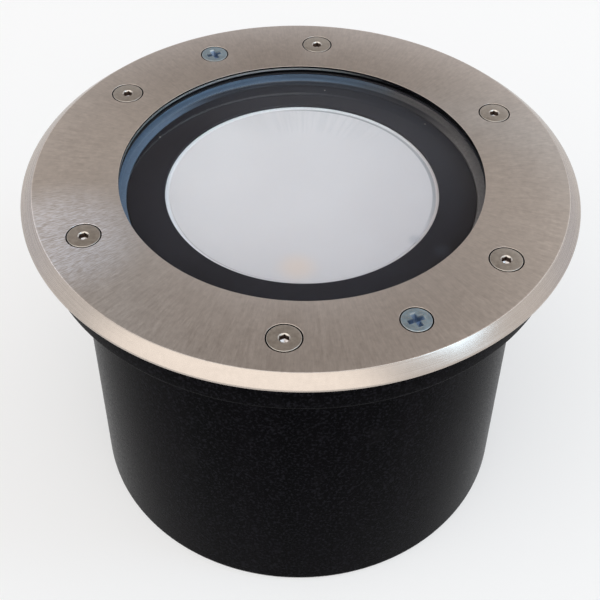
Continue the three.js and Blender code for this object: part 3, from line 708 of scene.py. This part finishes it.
def gasket_finish():
    """Blue-grey silicone, blue towards the left and grey towards the right as a painted reflection; painted
    shade darkens its outer part, the inside of its far edge, and, in black, its lip.
    """
    finish = Finish("gasket_silicone", Specular_IOR_Level=0.3)
    direction, radius = finish.polar()
    # Blue towards the left and grey towards the right, with a random wander: a painted reflection.
    wander = finish.remap(finish.noise(40.0), 0.0, 1.0, -0.3, 0.3)
    reflection_side = finish.math("ADD", finish.dot(direction, toward(10)), wander)
    fine = finish.noise(1300.0, 2.0)
    blue = finish.mix(finish.remap(fine, 0.35, 0.65), (0.24, 0.34, 0.48), (0.28, 0.39, 0.54))
    grey = finish.mix(finish.remap(fine, 0.35, 0.65), (0.3, 0.28, 0.28), (0.38, 0.355, 0.355))
    band = finish.mix(finish.smooth(reflection_side, 0.3, 0.8), blue, grey)
    # The outer part under the bezel is darker: painted shade.
    ledge_shade = finish.smooth(radius, 63.0, 61.5)
    body = finish.mix(finish.product(ledge_shade, 0.42), band, (0.03, 0.032, 0.04))
    # Dark inside the far edge: painted shade.
    far = finish.product(
        finish.smooth(radius, 60.2, 59.2), finish.facing(direction, toward(85), 62, 35))
    # The lip above the glass is painted black: painted shade under the bezel's edge.
    lip = finish.smooth(finish.level(), GLASS_TOP - 0.2, GLASS_TOP)
    far_shaded = finish.mix(finish.product(far, 0.95), body, (0.036, 0.037, 0.045))
    lipped = finish.mix(lip, far_shaded, (0.012, 0.013, 0.017))
    return finish.coated(lipped, finish.rough(fine, 0.45, 0.6), finish.bump(fine, 0.02))


def sleeve_finish():
    """Satin black moulding: fine texture, faint flow bands and rubbed spots."""
    finish = Finish("sleeve_plastic", Specular_IOR_Level=0.013)
    fine = finish.noise(1100.0, 3.0)
    flow = finish.noise(1.0, 3.0, finish.along_radius(9.0, 0.02))
    rubbed_and_highlight = finish.remap(finish.noise(70.0, 5.0), 0.62, 0.72, 0.0, 0.35)
    body = finish.mix(
        finish.remap(flow, 0.35, 0.65), (0.0004, 0.0003, 0.0007), (0.0013, 0.001, 0.0017))
    grained = finish.mix(finish.remap(fine, 0.5, 0.66, 0.0, 0.85), body, (0.0088, 0.0085, 0.0112))
    worn = finish.mix(rubbed_and_highlight, grained, (0.0085, 0.008, 0.0092))
    return finish.coated(worn, finish.rough(fine, 0.24, 0.34), finish.bump(fine, 0.03))


def reflector_finish():
    """Bright satin metal, a little streaked along the bowl."""
    finish = Finish("reflector_metal", Metallic=1.0)
    streaks = finish.noise(1.0, 3.0, finish.along_radius(60.0, 0.1))
    color = finish.mix(streaks, (0.8, 0.8, 0.81), (0.9, 0.9, 0.9))
    return finish.coated(color, finish.rough(streaks, 0.2, 0.32), finish.bump(streaks, 0.02, 0.5))


def board_finish():
    """Green solder mask over copper tracks."""
    finish = Finish("circuit_board")
    tracks = finish.node("ShaderNodeTexBrick", {
        "Vector": finish.place, "Scale": 160.0, "Mortar Size": 0.1, "Color1": (0.02, 0.12, 0.05, 1.0),
        "Color2": (0.025, 0.15, 0.06, 1.0), "Mortar": (0.05, 0.24, 0.1, 1.0)}).outputs
    rough = finish.rough(finish.noise(700.0), 0.3, 0.45)
    return finish.coated(tracks["Color"], rough, finish.bump(tracks["Fac"], 0.04))


def striped_finish(name, first, second, scale, roughness):
    """Bands along the height, as tape or shrink sleeve shows."""
    finish = Finish(name)
    inputs = {"Vector": finish.place, "Scale": scale, "Distortion": 1.5, "Detail": 2.0}
    bands = finish.node("ShaderNodeTexWave", inputs, bands_direction="Z").outputs["Fac"]
    rough = finish.rough(finish.noise(900.0), roughness - 0.06, roughness + 0.06)
    return finish.coated(finish.mix(bands, first, second), rough, finish.bump(bands, 0.08))


def make_finishes():
    """One material for each slot of the record."""
    made = {
        "bezel_steel": bezel_finish(),
        # The recess colours and the zinc floor colour below are painted shade; the steel floor colour is a
        # painted highlight.
        "screw_steel": head_finish(
            "screw_steel", color=(0.57, 0.51, 0.44), spread=0.06, roughness=(0.34, 0.42),
            recess=(0.12, 0.085, 0.07), floor=(0.66, 0.62, 0.6), speck=(0.5, 0.45, 0.4)),
        "zinc_steel": head_finish(
            "zinc_steel", color=(0.37, 0.46, 0.51), spread=0.08, roughness=(0.42, 0.5),
            recess=(0.24, 0.31, 0.42), floor=(0.24, 0.31, 0.42), speck=(0.5, 0.5, 0.48)),
        "clear_glass": glass_finish(),
        "frosted_plastic": disc_finish(),
        "mask_plastic": mask_finish(),
        "gasket_silicone": gasket_finish(),
        "sleeve_plastic": sleeve_finish(),
        "reflector_metal": reflector_finish(),
        "circuit_board": board_finish(),
        "coil_tape": striped_finish("coil_tape", (0.5, 0.36, 0.05), (0.62, 0.46, 0.1), 220.0, 0.4),
        "capacitor_sleeve": striped_finish(
            "capacitor_sleeve", (0.012, 0.016, 0.026), (0.03, 0.035, 0.05), 60.0, 0.3),
    }
    # Colour, its spread, patch and grain scales, roughness, its spread, bump in millimetres, other sockets
    plain = {
        "insert_brass": ((0.6, 0.42, 0.16), 0.12, 300.0, 2200.0, 0.32, 0.06, 0.02, {"Metallic": 1.0}),
        "holder_plastic": ((0.72, 0.7, 0.66), 0.04, 90.0, 1400.0, 0.45, 0.06, 0.02, {}),
        "board_aluminium": ((0.56, 0.57, 0.58), 0.08, 200.0, 1800.0, 0.42, 0.06, 0.02, {"Metallic": 1.0}),
        "phosphor": ((0.9, 0.52, 0.12), 0.06, 400.0, 2500.0, 0.6, 0.05, 0.03, {}),
        "pad_grey": ((0.27, 0.28, 0.31), 0.08, 200.0, 1500.0, 0.75, 0.05, 0.04, {}),
        "body_casting": (
            (0.03, 0.031, 0.034), 0.25, 60.0, 1300.0, 0.5, 0.08, 0.08, {"Specular_IOR_Level": 0.4}),
        "terminal_plastic": ((0.03, 0.2, 0.07), 0.08, 150.0, 1400.0, 0.42, 0.06, 0.03, {}),
        "wire_red": ((0.36, 0.02, 0.02), 0.1, 250.0, 1800.0, 0.45, 0.06, 0.02, {}),
        "wire_black": ((0.012, 0.012, 0.012), 0.2, 250.0, 1800.0, 0.45, 0.06, 0.02, {}),
        "seal_rubber": ((0.012, 0.012, 0.012), 0.25, 200.0, 1600.0, 0.6, 0.06, 0.03, {}),
        "gland_plastic": ((0.018, 0.018, 0.02), 0.25, 110.0, 1500.0, 0.42, 0.08, 0.04, {}),
    }
    for name, (*values, sockets) in plain.items():
        made[name] = plain_finish(name, *values, **sockets)
    return made


# Pieces

def countersink(head_radius):
    """What a countersunk head and its shank take out of the bezel, from the top face down."""
    rim = HEAD_RIM + SIDE_GAP
    hole_radius = head_radius + SIDE_GAP
    return turned([
        (0, -BEZEL_THICKNESS - OVERRUN),
        (SHANK_HOLE_RADIUS, -BEZEL_THICKNESS - OVERRUN),
        (SHANK_HOLE_RADIUS, -rim - head_radius + SHANK_RADIUS),
        (hole_radius, -rim),
        (hole_radius, -HOLE_EDGE),
        (hole_radius + HOLE_EDGE + OVERRUN, OVERRUN),
        (0, OVERRUN),
    ], SCREW_SIDES)


def add_bezel():
    """The trim ring: a rim that hangs over the collar, a bevel, and eight countersunk holes."""
    under = TOP - BEZEL_THICKNESS
    blank = turned(filleted([
        (OPENING_RADIUS + OPENING_RELIEF, under, 0.1),
        (RIM_INNER_RADIUS, under, 0.2),
        (RIM_INNER_RADIUS, RIM_UNDER, 0.15),
        (BEZEL_RADIUS, RIM_UNDER, 0.15),
        (BEZEL_RADIUS, RIM_UNDER + BEVEL_LAND, 0.2),
        (TOP_FACE_RADIUS, TOP, 0.3),
        (OPENING_RADIUS, TOP, 0.12),
        (OPENING_RADIUS, TOP - OPENING_WALL, 0.1),
    ]))
    holes = [placed(countersink(HEX_HEAD_RADIUS), PITCH_RADIUS, d, TOP) for d in HEX_DIRECTIONS]
    holes += [placed(countersink(CROSS_HEAD_RADIUS), PITCH_RADIUS, d, TOP) for d in CROSS_DIRECTIONS]
    add_piece("bezel_plate", carved(blank, merged(holes)), ["bezel_ring"], "bezel_steel")


def thread_ridges(low, high):
    """Profile points of the ridges along a shank."""
    points = []
    for i in range(int((high - low) / THREAD_PITCH)):
        start = low + i * THREAD_PITCH
        points.append((SHANK_RADIUS - THREAD_DEPTH, start, 0))
        points.append((SHANK_RADIUS, start + THREAD_PITCH / 2, 0))
    return points


def countersunk_blank(seat_radius, length):
    """A screw hanging from its head's flat top at level zero, a little smaller than its seat."""
    head_radius = seat_radius - HEAD_EASE
    shank_top = -HEAD_RIM - head_radius + SHANK_RADIUS
    return turned(filleted([
        (0, -length, 0),
        (SHANK_RADIUS - 2 * THREAD_DEPTH, -length, 0),
        *thread_ridges(-length + THREAD_DEPTH, shank_top - THREAD_PITCH),
        (SHANK_RADIUS, shank_top, 0.2),
        (head_radius, -HEAD_RIM, 0.08),
        (head_radius, 0, 0.24),
        (0, 0, 0),
    ], 5), SCREW_SIDES)


def hex_socket(across, depth, point):
    """A hexagonal bore from above level zero, with a drilled point."""
    corner = across / 2 / cosine(30)
    return turned([
        (0, -depth - point), (corner * DRILL_SHARE, -depth), (corner, -depth),
        (corner, OVERRUN), (0, OVERRUN),
    ], 6)


def socket_mouth(across, spare):
    """A cone that eases a socket's edge."""
    radius = across / 2 + spare
    return turned([(0, -radius), (radius + OVERRUN, OVERRUN), (0, OVERRUN)], SCREW_SIDES)


def add_hex_screws():
    """The six screws that clamp the bezel to the housing."""
    for i, degrees in enumerate(HEX_DIRECTIONS):
        node = f"hex_screw_{i + 1}"
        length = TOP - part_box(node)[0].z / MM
        socket = hex_socket(HEX_SOCKET_ACROSS, HEX_SOCKET_DEPTH, SOCKET_POINT)
        shape = carved(countersunk_blank(HEX_HEAD_RADIUS, length), socket)
        shape = carved(shape, socket_mouth(HEX_SOCKET_ACROSS, SOCKET_MOUTH))
        placed(shape, PITCH_RADIUS, degrees, TOP)
        add_piece(f"hex_clamp_screw_{i + 1}", shape, [node], "screw_steel", SHARP_SCREW)


def add_cross_screws():
    """The two screws that hold the light in the sleeve."""
    for i, degrees in enumerate(CROSS_DIRECTIONS):
        node = f"cross_screw_{i + 1}"
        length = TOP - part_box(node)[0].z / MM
        shape = countersunk_blank(CROSS_HEAD_RADIUS, length)
        for quarter in (0, 90):
            arm = wedge(
                CROSS_MOUTH_LENGTH, CROSS_MOUTH_WIDTH, -CROSS_RECESS_DEPTH, CROSS_ARM_TOP,
                CROSS_FLOOR_LENGTH, CROSS_FLOOR_WIDTH)
            shape = carved(shape, placed(arm, 0, quarter + CROSS_TURN))
        centre = turned([
            (0, -CROSS_RECESS_DEPTH - CROSS_CENTRE_POINT),
            (CROSS_CENTRE_LOW_RADIUS, -CROSS_RECESS_DEPTH + CROSS_CENTRE_RISE),
            (CROSS_CENTRE_RADIUS, OVERRUN), (0, OVERRUN),
        ], SMALL_SIDES)
        shape = carved(shape, centre)
        placed(shape, PITCH_RADIUS, degrees, TOP)
        add_piece(f"cross_fixing_screw_{i + 1}", shape, [node], "zinc_steel", SHARP_SCREW)


def add_window():
    """The glass in its gasket, and the mask ring and grooved disc under it."""
    lip_radius = OPENING_RADIUS + SIDE_GAP
    lip_under = GLASS_TOP + SEAT_GAP
    wall_radius = GLASS_RADIUS + SIDE_GAP
    base_radius = MASK_OUTER_RADIUS + SIDE_GAP
    base_top = GLASS_UNDER - SEAT_GAP
    add_piece("window_gasket", turned(filleted([
        (base_radius, GASKET_UNDER, 0.2),
        (GASKET_RADIUS, GASKET_UNDER, 0.2),
        (GASKET_RADIUS, GASKET_TOP, 0.2),
        (lip_radius, GASKET_TOP, 0.25),
        (lip_radius, lip_under, 0.25),
        (wall_radius, lip_under, 0),
        (wall_radius, base_top, 0),
        (base_radius, base_top, 0.3),
    ])), ["glass_gasket"], "gasket_silicone")
    add_piece("window_glass", turned(filleted([
        (0, GLASS_UNDER, 0), (GLASS_RADIUS, GLASS_UNDER, 0.3),
        (GLASS_RADIUS, GLASS_TOP, 0.3), (0, GLASS_TOP, 0),
    ], 1)), ["front_glass"], "clear_glass")
    add_piece("window_mask", turned(filleted([
        (MASK_INNER_RADIUS, MASK_UNDER, 0), (MASK_OUTER_RADIUS, MASK_UNDER, 0),
        (MASK_OUTER_RADIUS, MASK_TOP, 0.2), (MASK_INNER_RADIUS, MASK_TOP, 0.2),
    ])), ["mask_ring"], "mask_plastic")
    add_piece("frosted_disc", turned(filleted([
        (0, DISC_UNDER, 0),
        (DISC_RADIUS, DISC_UNDER, 0.2),
        (DISC_RADIUS, DISC_TOP, 0),
        (GROOVE_RADIUS + GROOVE_WIDTH, DISC_TOP, 0.12),
        (GROOVE_RADIUS + GROOVE_WIDTH, DISC_TOP - GROOVE_DEPTH, 0.02),
        (GROOVE_RADIUS, DISC_TOP - GROOVE_DEPTH, 0.02),
        (GROOVE_RADIUS, DISC_TOP, 0.12),
        (0, DISC_TOP, 0),
    ])), ["diffuser_disc"], "frosted_plastic")


def add_reflector():
    """A parabolic bowl of flat facets under a rim."""
    throat, mouth = BOWL_THROAT_RADIUS, BOWL_MOUTH_RADIUS
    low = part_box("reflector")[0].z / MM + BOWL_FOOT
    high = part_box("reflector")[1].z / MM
    rim_under = high - BOWL_RIM_HEIGHT

    def level(radius):
        share = (radius ** 2 - throat ** 2) / (mouth ** 2 - throat ** 2)
        return low + share * (rim_under - low)

    radii = [throat + (mouth - throat) * i / BOWL_STEPS for i in range(BOWL_STEPS + 1)]
    inner = [(r, level(r)) for r in radii]
    outer = [(r, level(r) - BOWL_WALL) for r in radii]
    rim = [
        (mouth + BOWL_WALL, rim_under), (BOWL_RIM_RADIUS, rim_under), (BOWL_RIM_RADIUS, high), (mouth, high),
    ]
    bowl = turned([*outer, *rim, *inner[::-1]], BOWL_SIDES)
    add_piece("faceted_reflector", bowl, ["reflector"], "reflector_metal", SHARP_FACET)


def cooling_fin():
    """A fin with drafted sides and two bevelled outer corners."""
    root, tip = FIN_ROOT / 2, FIN_TIP / 2
    start = BODY_RADIUS - OVERRUN
    outline = [
        (start, FIN_LOW, FIN_HIGH),
        (FIN_REACH - FIN_BEVEL, FIN_LOW, FIN_HIGH),
        (FIN_REACH, FIN_LOW + FIN_BEVEL, FIN_HIGH - FIN_SHOULDER),
    ]
    corners = []
    for reach, low, high in outline:
        share = (reach - start) / (FIN_REACH - start)
        half = root + (tip - root) * share
        corners += [(reach, half, low), (reach, -half, low), (reach, half, high), (reach, -half, high)]
    return hull(corners)


def board_post():
    """A post under the deck with a blind hole from below for a board screw."""
    post = bar(POST_RADIUS, POST_LOW, DECK_UNDER + POST_OVERLAP, SMALL_SIDES)
    return carved(post, bar(POST_HOLE_RADIUS, POST_LOW - OVERRUN, POST_HOLE_TOP, SMALL_SIDES))


def add_housing():
    """The cast body: flange, window recess, light bowl, deck, driver chamber, fins and board posts."""
    blank = turned(filleted([
        (0, DECK_UNDER, 0),
        (CHAMBER_BORE, DECK_UNDER, 1.0),
        (CHAMBER_BORE, BODY_BOTTOM, 0.4),
        (BODY_RADIUS, BODY_BOTTOM, 0.6),
        (BODY_RADIUS, FLARE_UNDER, 2.0),
        (NECK_RADIUS, NECK_UNDER, 1.5),
        (NECK_RADIUS, FLANGE_UNDER, 0.4),
        (FLANGE_RADIUS, FLANGE_UNDER, 0.8),
        (FLANGE_RADIUS, FLANGE_TOP, 0.6),
        (RECESS_RADIUS, FLANGE_TOP, 0.3),
        (RECESS_RADIUS, LEDGE_TOP, 0.2),
        (BODY_BORE, LEDGE_TOP, 0.5),
        (BODY_BORE, DECK_TOP, 1.5),
        (0, DECK_TOP, 0),
    ]), BODY_SIDES)
    bores = [
        (SHANK_HOLE_RADIUS, FLANGE_UNDER - OVERRUN, FLANGE_TOP + OVERRUN, PITCH_RADIUS,
         HEX_DIRECTIONS + CROSS_DIRECTIONS),
        (COVER_SCREW_HOLE_RADIUS, BODY_BOTTOM - OVERRUN, BODY_BOTTOM + COVER_SCREW_HOLE_DEPTH,
         COVER_SCREW_PITCH, COVER_SCREW_DIRECTIONS),
        (HOLDER_SCREW_HOLE_RADIUS, DECK_TOP - HOLDER_SCREW_HOLE_DEPTH, DECK_TOP + OVERRUN,
         HOLDER_SCREW_PITCH, HOLDER_SCREW_DIRECTIONS),
        (WIRE_HOLE_RADIUS, DECK_UNDER - OVERRUN, DECK_TOP + OVERRUN, WIRE_HOLE_PITCH, WIRE_HOLE_DIRECTIONS),
    ]
    holes = [placed(bar(radius, low, high, SMALL_SIDES), pitch, degrees)
             for radius, low, high, pitch, directions in bores for degrees in directions]
    casting = carved(blank, merged(holes))
    posts = [placed(board_post(), POST_PITCH, degrees) for degrees in POST_DIRECTIONS]
    fins = [placed(cooling_fin(), 0, 360 * i / FIN_COUNT) for i in range(FIN_COUNT)]
    whole = joined(casting, merged([*posts, *fins]))
    add_piece("finned_housing", whole, ["body_housing"], "body_casting")


def add_rear():
    """The rear cover with a ring groove below and a seal groove above, and its socket screws."""
    spigot_radius = CHAMBER_BORE - SIDE_GAP
    cover_top = BODY_BOTTOM - SEAT_GAP
    groove_radius = spigot_radius - SEAL_GROOVE_DEPTH
    groove_top, groove_under = COVER_TOP - SEAL_GROOVE_TOP, COVER_TOP - SEAL_GROOVE_UNDER
    blank = turned(filleted([
        (COVER_BORE, COVER_UNDER, 0.4),
        (COVER_RING_INNER, COVER_UNDER, 0.2),
        (COVER_RING_INNER + COVER_RING_DEPTH, COVER_UNDER + COVER_RING_DEPTH, 0.2),
        (COVER_RING_OUTER - COVER_RING_DEPTH, COVER_UNDER + COVER_RING_DEPTH, 0.2),
        (COVER_RING_OUTER, COVER_UNDER, 0.2),
        (COVER_RADIUS, COVER_UNDER, 1.2),
        (COVER_RADIUS, cover_top, 0.3),
        (spigot_radius, cover_top, 0),
        (spigot_radius, groove_under, 0),
        (groove_radius, groove_under, 0),
        (groove_radius, groove_top, 0),
        (spigot_radius, groove_top, 0),
        (spigot_radius, COVER_TOP, 0.3),
        (COVER_BORE, COVER_TOP, 0.3),
    ]), BODY_SIDES)
    hole = (COVER_SCREW_HOLE_RADIUS, COVER_UNDER - OVERRUN, cover_top + OVERRUN, SMALL_SIDES)
    holes = [placed(bar(*hole), COVER_SCREW_PITCH, d) for d in COVER_SCREW_DIRECTIONS]
    add_piece("rear_plate", carved(blank, merged(holes)), ["rear_cover"], "body_casting")
    for i, degrees in enumerate(COVER_SCREW_DIRECTIONS):
        node = f"rear_cover_screw_{i + 1}"
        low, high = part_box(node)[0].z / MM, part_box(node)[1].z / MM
        screw = turned(filleted([
            (0, low, 0),
            (COVER_HEAD_END_RADIUS, low, 0.7),
            (COVER_HEAD_RADIUS, COVER_UNDER - SEAT_GAP, 0.1),
            (COVER_SCREW_RADIUS, COVER_UNDER - SEAT_GAP, 0),
            (COVER_SCREW_RADIUS, high - COVER_SCREW_TIP, 0),
            (COVER_SCREW_RADIUS - COVER_SCREW_TIP, high, 0),
            (0, high, 0),
        ], 4), SCREW_SIDES)
        socket = hex_socket(COVER_SOCKET_ACROSS, COVER_SOCKET_DEPTH, COVER_SOCKET_POINT)
        flip = Matrix.Translation((0, 0, low)) @ Matrix.Rotation(math.pi, 4, "X")
        shape = placed(carved(screw, moved(socket, flip)), COVER_SCREW_PITCH, degrees)
        add_piece(f"rear_socket_screw_{i + 1}", shape, [node], "screw_steel", SHARP_SCREW)


def hexagon(radius, bottom, top, edge):
    """A hexagonal bar with bevelled ends."""
    rise = edge * GLAND_EDGE_SLOPE
    return turned([
        (0, bottom), (radius - edge, bottom), (radius, bottom + rise),
        (radius, top - rise), (radius - edge, top), (0, top),
    ], 6)


def add_gland():
    """The cable gland: a screwed-in body with a seal pocket, and a domed nut over its spigot."""
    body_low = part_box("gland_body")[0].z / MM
    hex_top = COVER_UNDER - SEAT_GAP
    hex_under = hex_top - GLAND_HEX_HEIGHT
    pocket_top = body_low + GLAND_POCKET_DEPTH
    collar = carved(
        hexagon(GLAND_HEX_RADIUS, hex_under, hex_top, GLAND_HEX_EDGE),
        bar(GLAND_BORE_RADIUS, hex_under - OVERRUN, hex_top + OVERRUN))
    thread = turned([
        (GLAND_BORE_RADIUS, hex_top - GLAND_OVERLAP), (GLAND_THREAD_RADIUS, hex_top - GLAND_OVERLAP),
        (GLAND_THREAD_RADIUS, COVER_TOP), (GLAND_BORE_RADIUS, COVER_TOP),
    ], SCREW_SIDES)
    spigot = turned(filleted([
        (GLAND_POCKET_RADIUS, body_low, 0.2),
        (GLAND_SPIGOT_RADIUS, body_low, 0.4),
        (GLAND_SPIGOT_RADIUS, hex_under + GLAND_OVERLAP, 0),
        (GLAND_BORE_RADIUS, hex_under + GLAND_OVERLAP, 0),
        (GLAND_BORE_RADIUS, pocket_top, 0),
        (GLAND_POCKET_RADIUS, pocket_top, 0),
    ]), SCREW_SIDES)
    body = joined(collar, merged([thread, spigot]))
    add_piece("gland_entry", body, ["gland_body"], "gland_plastic")
    nut_floor = GLAND_LOW + GLAND_NUT_FLOOR
    dome = turned(filleted([
        (GLAND_BORE_RADIUS, GLAND_LOW, 0.4),
        (GLAND_DOME_LOW_RADIUS, GLAND_LOW, 1.2),
        (GLAND_DOME_RADIUS, GLAND_LOW + GLAND_DOME_HEIGHT, 1.2),
        (GLAND_DOME_RADIUS, nut_floor + OVERRUN, 0),
        (GLAND_NUT_BORE_RADIUS, nut_floor + OVERRUN, 0),
        (GLAND_NUT_BORE_RADIUS, nut_floor, 0),
        (GLAND_BORE_RADIUS, nut_floor, 0.2),
    ], 5), SCREW_SIDES)
    grip = carved(
        hexagon(GLAND_NUT_RADIUS, nut_floor - GLAND_NUT_OVERLAP, GLAND_NUT_TOP, GLAND_NUT_EDGE),
        bar(GLAND_NUT_BORE_RADIUS, nut_floor - OVERRUN, GLAND_NUT_TOP + OVERRUN))
    add_piece("gland_cap_nut", joined(dome, grip), ["gland_nut"], "gland_plastic")


def tube_with_entries():
    """The sleeve's tube with two cable entries through its wall."""
    inner = BASE_RADIUS + SIDE_GAP
    blank = turned(filleted([
        (inner, 0, 0.3), (SLEEVE_RADIUS, 0, 2.0),
        (SLEEVE_RADIUS, SLEEVE_TOP, 0), (inner, SLEEVE_TOP, 0),
    ], 6))
    sideways = Matrix.Translation((0, 0, ENTRY_LEVEL)) @ Matrix.Rotation(math.pi / 2, 4, "Y")
    reach = (inner - 3 * OVERRUN, SLEEVE_RADIUS + OVERRUN)
    entries = [placed(moved(bar(ENTRY_RADIUS, *reach), sideways), 0, d) for d in ENTRY_DIRECTIONS]
    return carved(blank, merged(entries))


def add_sleeve():
    """The ground sleeve: its tube, the collar that the light hangs in, and the base with a drain hole."""
    add_piece("sleeve_tube", tube_with_entries(), ["mounting_sleeve"], "sleeve_plastic", body="sleeve")
    rebate_radius = SLEEVE_RADIUS + SIDE_GAP
    rebate_top = SLEEVE_TOP + SEAT_GAP
    blank = turned(filleted([
        (SHELF_BORE, rebate_top, 0),
        (rebate_radius, rebate_top, 0),
        (rebate_radius, COLLAR_UNDER, 0.2),
        (COLLAR_RADIUS, COLLAR_UNDER, 0.9),
        (COLLAR_RADIUS, COLLAR_TOP, 0.4),
        (COLLAR_BORE, COLLAR_TOP, 0.3),
        (COLLAR_BORE, SHOULDER_TOP, 0.2),
        (SHELF_BORE, SHOULDER_TOP, 0.3),
    ], 4))
    holes = [placed(bar(INSERT_HOLE_RADIUS, INSERT_FLOOR, SHOULDER_TOP + OVERRUN), PITCH_RADIUS, d)
             for d in CROSS_DIRECTIONS]
    add_piece("collar_ring", carved(blank, merged(holes)), ["sleeve_collar"], "sleeve_plastic", body="sleeve")
    add_piece("base_plate", turned(filleted([
        (DRAIN_RADIUS, 0, 0.5), (BASE_RADIUS, 0, 0.3),
        (BASE_RADIUS, BASE_TOP, 0.3), (DRAIN_RADIUS, BASE_TOP, 0.5),
    ])), ["sleeve_base"], "sleeve_plastic", body="sleeve")


def dress_cad_nodes():
    """Gives each CAD node the finish of its own slot."""
    slots = {part["node"]: part["material_slot"] for part in frame["record"]["subparts"]}
    for name, obj in frame["nodes"].items():
        obj.data.materials.clear()
        obj.data.materials.append(finishes[slots[name]])


# Surroundings

def floor_finish():
    """Pale matte floor with shadows, whiter to the camera and in what metal and glass show of it."""
    pale = (0.87, 0.87, 0.87, 1.0)
    finish = Finish("studio_floor", Base_Color=pale, Roughness=0.9, Specular_IOR_Level=0.1)
    paths = finish.node("ShaderNodeLightPath").outputs
    mirrored = finish.math("MAXIMUM", paths["Is Glossy Ray"], paths["Is Transmission Ray"])
    seen = finish.math("MAXIMUM", paths["Is Camera Ray"], mirrored)
    white = finish.node("ShaderNodeEmission", {"Color": (1.0, 1.0, 1.0, 1.0), "Strength": 1.0}).outputs[0]
    whiter = 0.45
    finish.shared(finish.product(seen, whiter), white)
    return finish.material


def add_floor():
    """A square of floor at the sleeve's underside."""
    half_width = 6.0
    bm = bmesh.new()
    bmesh.ops.create_grid(bm, x_segments=1, y_segments=1, size=half_width)
    floor = add_shape("studio_floor", bm)
    floor.data.materials.append(floor_finish())


def add_world():
    """A pale room: dim high up behind the object, bluish low behind it, a bright band in front."""
    world = bpy.data.worlds.new("studio")
    world.use_nodes = True
    bpy.context.scene.world = world
    sky = Wiring(world.node_tree)
    ray = sky.node("ShaderNodeTexCoord").outputs["Generated"]
    height = sky.height(ray)
    dim = sky.facing(ray, toward(97, 56), 38, 18)
    low = sky.product(sky.smooth(height, 0.6, 0.2), sky.smooth(sky.dot(ray, toward(90)), 0.0, 0.4))
    front = sky.facing(sky.unit(sky.flattened(ray)), toward(-113), 68, 46)
    band = sky.product(front, sky.window(height, 0.45, 0.95, 0.12))
    room = sky.mix(band, (0.95, 0.95, 0.96), (1.84, 1.8, 1.75))
    lowered = sky.mix(low, room, (0.79, 0.82, 0.9))
    color = sky.mix(dim, lowered, (0.2, 0.17, 0.15))
    sky.links.new(color, sky.nodes["Background"].inputs["Color"])


def add_softbox(name, azimuth, elevation, distance, width, height, radiance, color):
    """A rectangular lamp that faces the object from a direction."""
    lamp = bpy.data.lights.new(name, "AREA")
    lamp.shape = "RECTANGLE"
    lamp.size, lamp.size_y = width, height
    lamp.energy = radiance * math.pi * width * height
    lamp.color = color
    obj = add_object(name, lamp)
    direction = toward(azimuth, elevation)
    obj.location = direction * distance + Vector((0, 0, TOP * MM))
    obj.rotation_euler = direction.to_track_quat("Z", "Y").to_euler()


def add_camera():
    """The photograph's camera, fitted to the bezel, window, screws and sleeve."""
    data = bpy.data.cameras.new("camera")
    data.sensor_width = 36.0
    data.lens = 68.682
    data.shift_x, data.shift_y = -0.05, -0.06667
    camera = add_object("camera", data)
    right = Vector((0.99964, 0.00132, 0.0268))
    up = Vector((-0.02028, 0.69103, 0.72254))
    back = Vector((-0.01756, -0.72282, 0.69081))
    rotation = Matrix((right, up, back)).transposed().to_4x4()
    place = Vector((0.00286, -0.28842, 0.23553 + TOP * MM))
    camera.matrix_world = Matrix.Translation(place) @ rotation
    bpy.context.scene.camera = camera


finishes = make_finishes()
dress_cad_nodes()
add_bezel()
add_hex_screws()
add_cross_screws()
add_window()
add_reflector()
add_housing()
add_rear()
add_gland()
add_sleeve()
add_floor()
add_world()
add_softbox(
    "cool_softbox", azimuth=-18, elevation=50, distance=0.9, width=0.22, height=0.36, radiance=4.8,
    color=(0.5, 0.76, 1.0))
add_camera()
bpy.context.scene.view_settings.view_transform = "Standard"

bpy.context.view_layer.update()
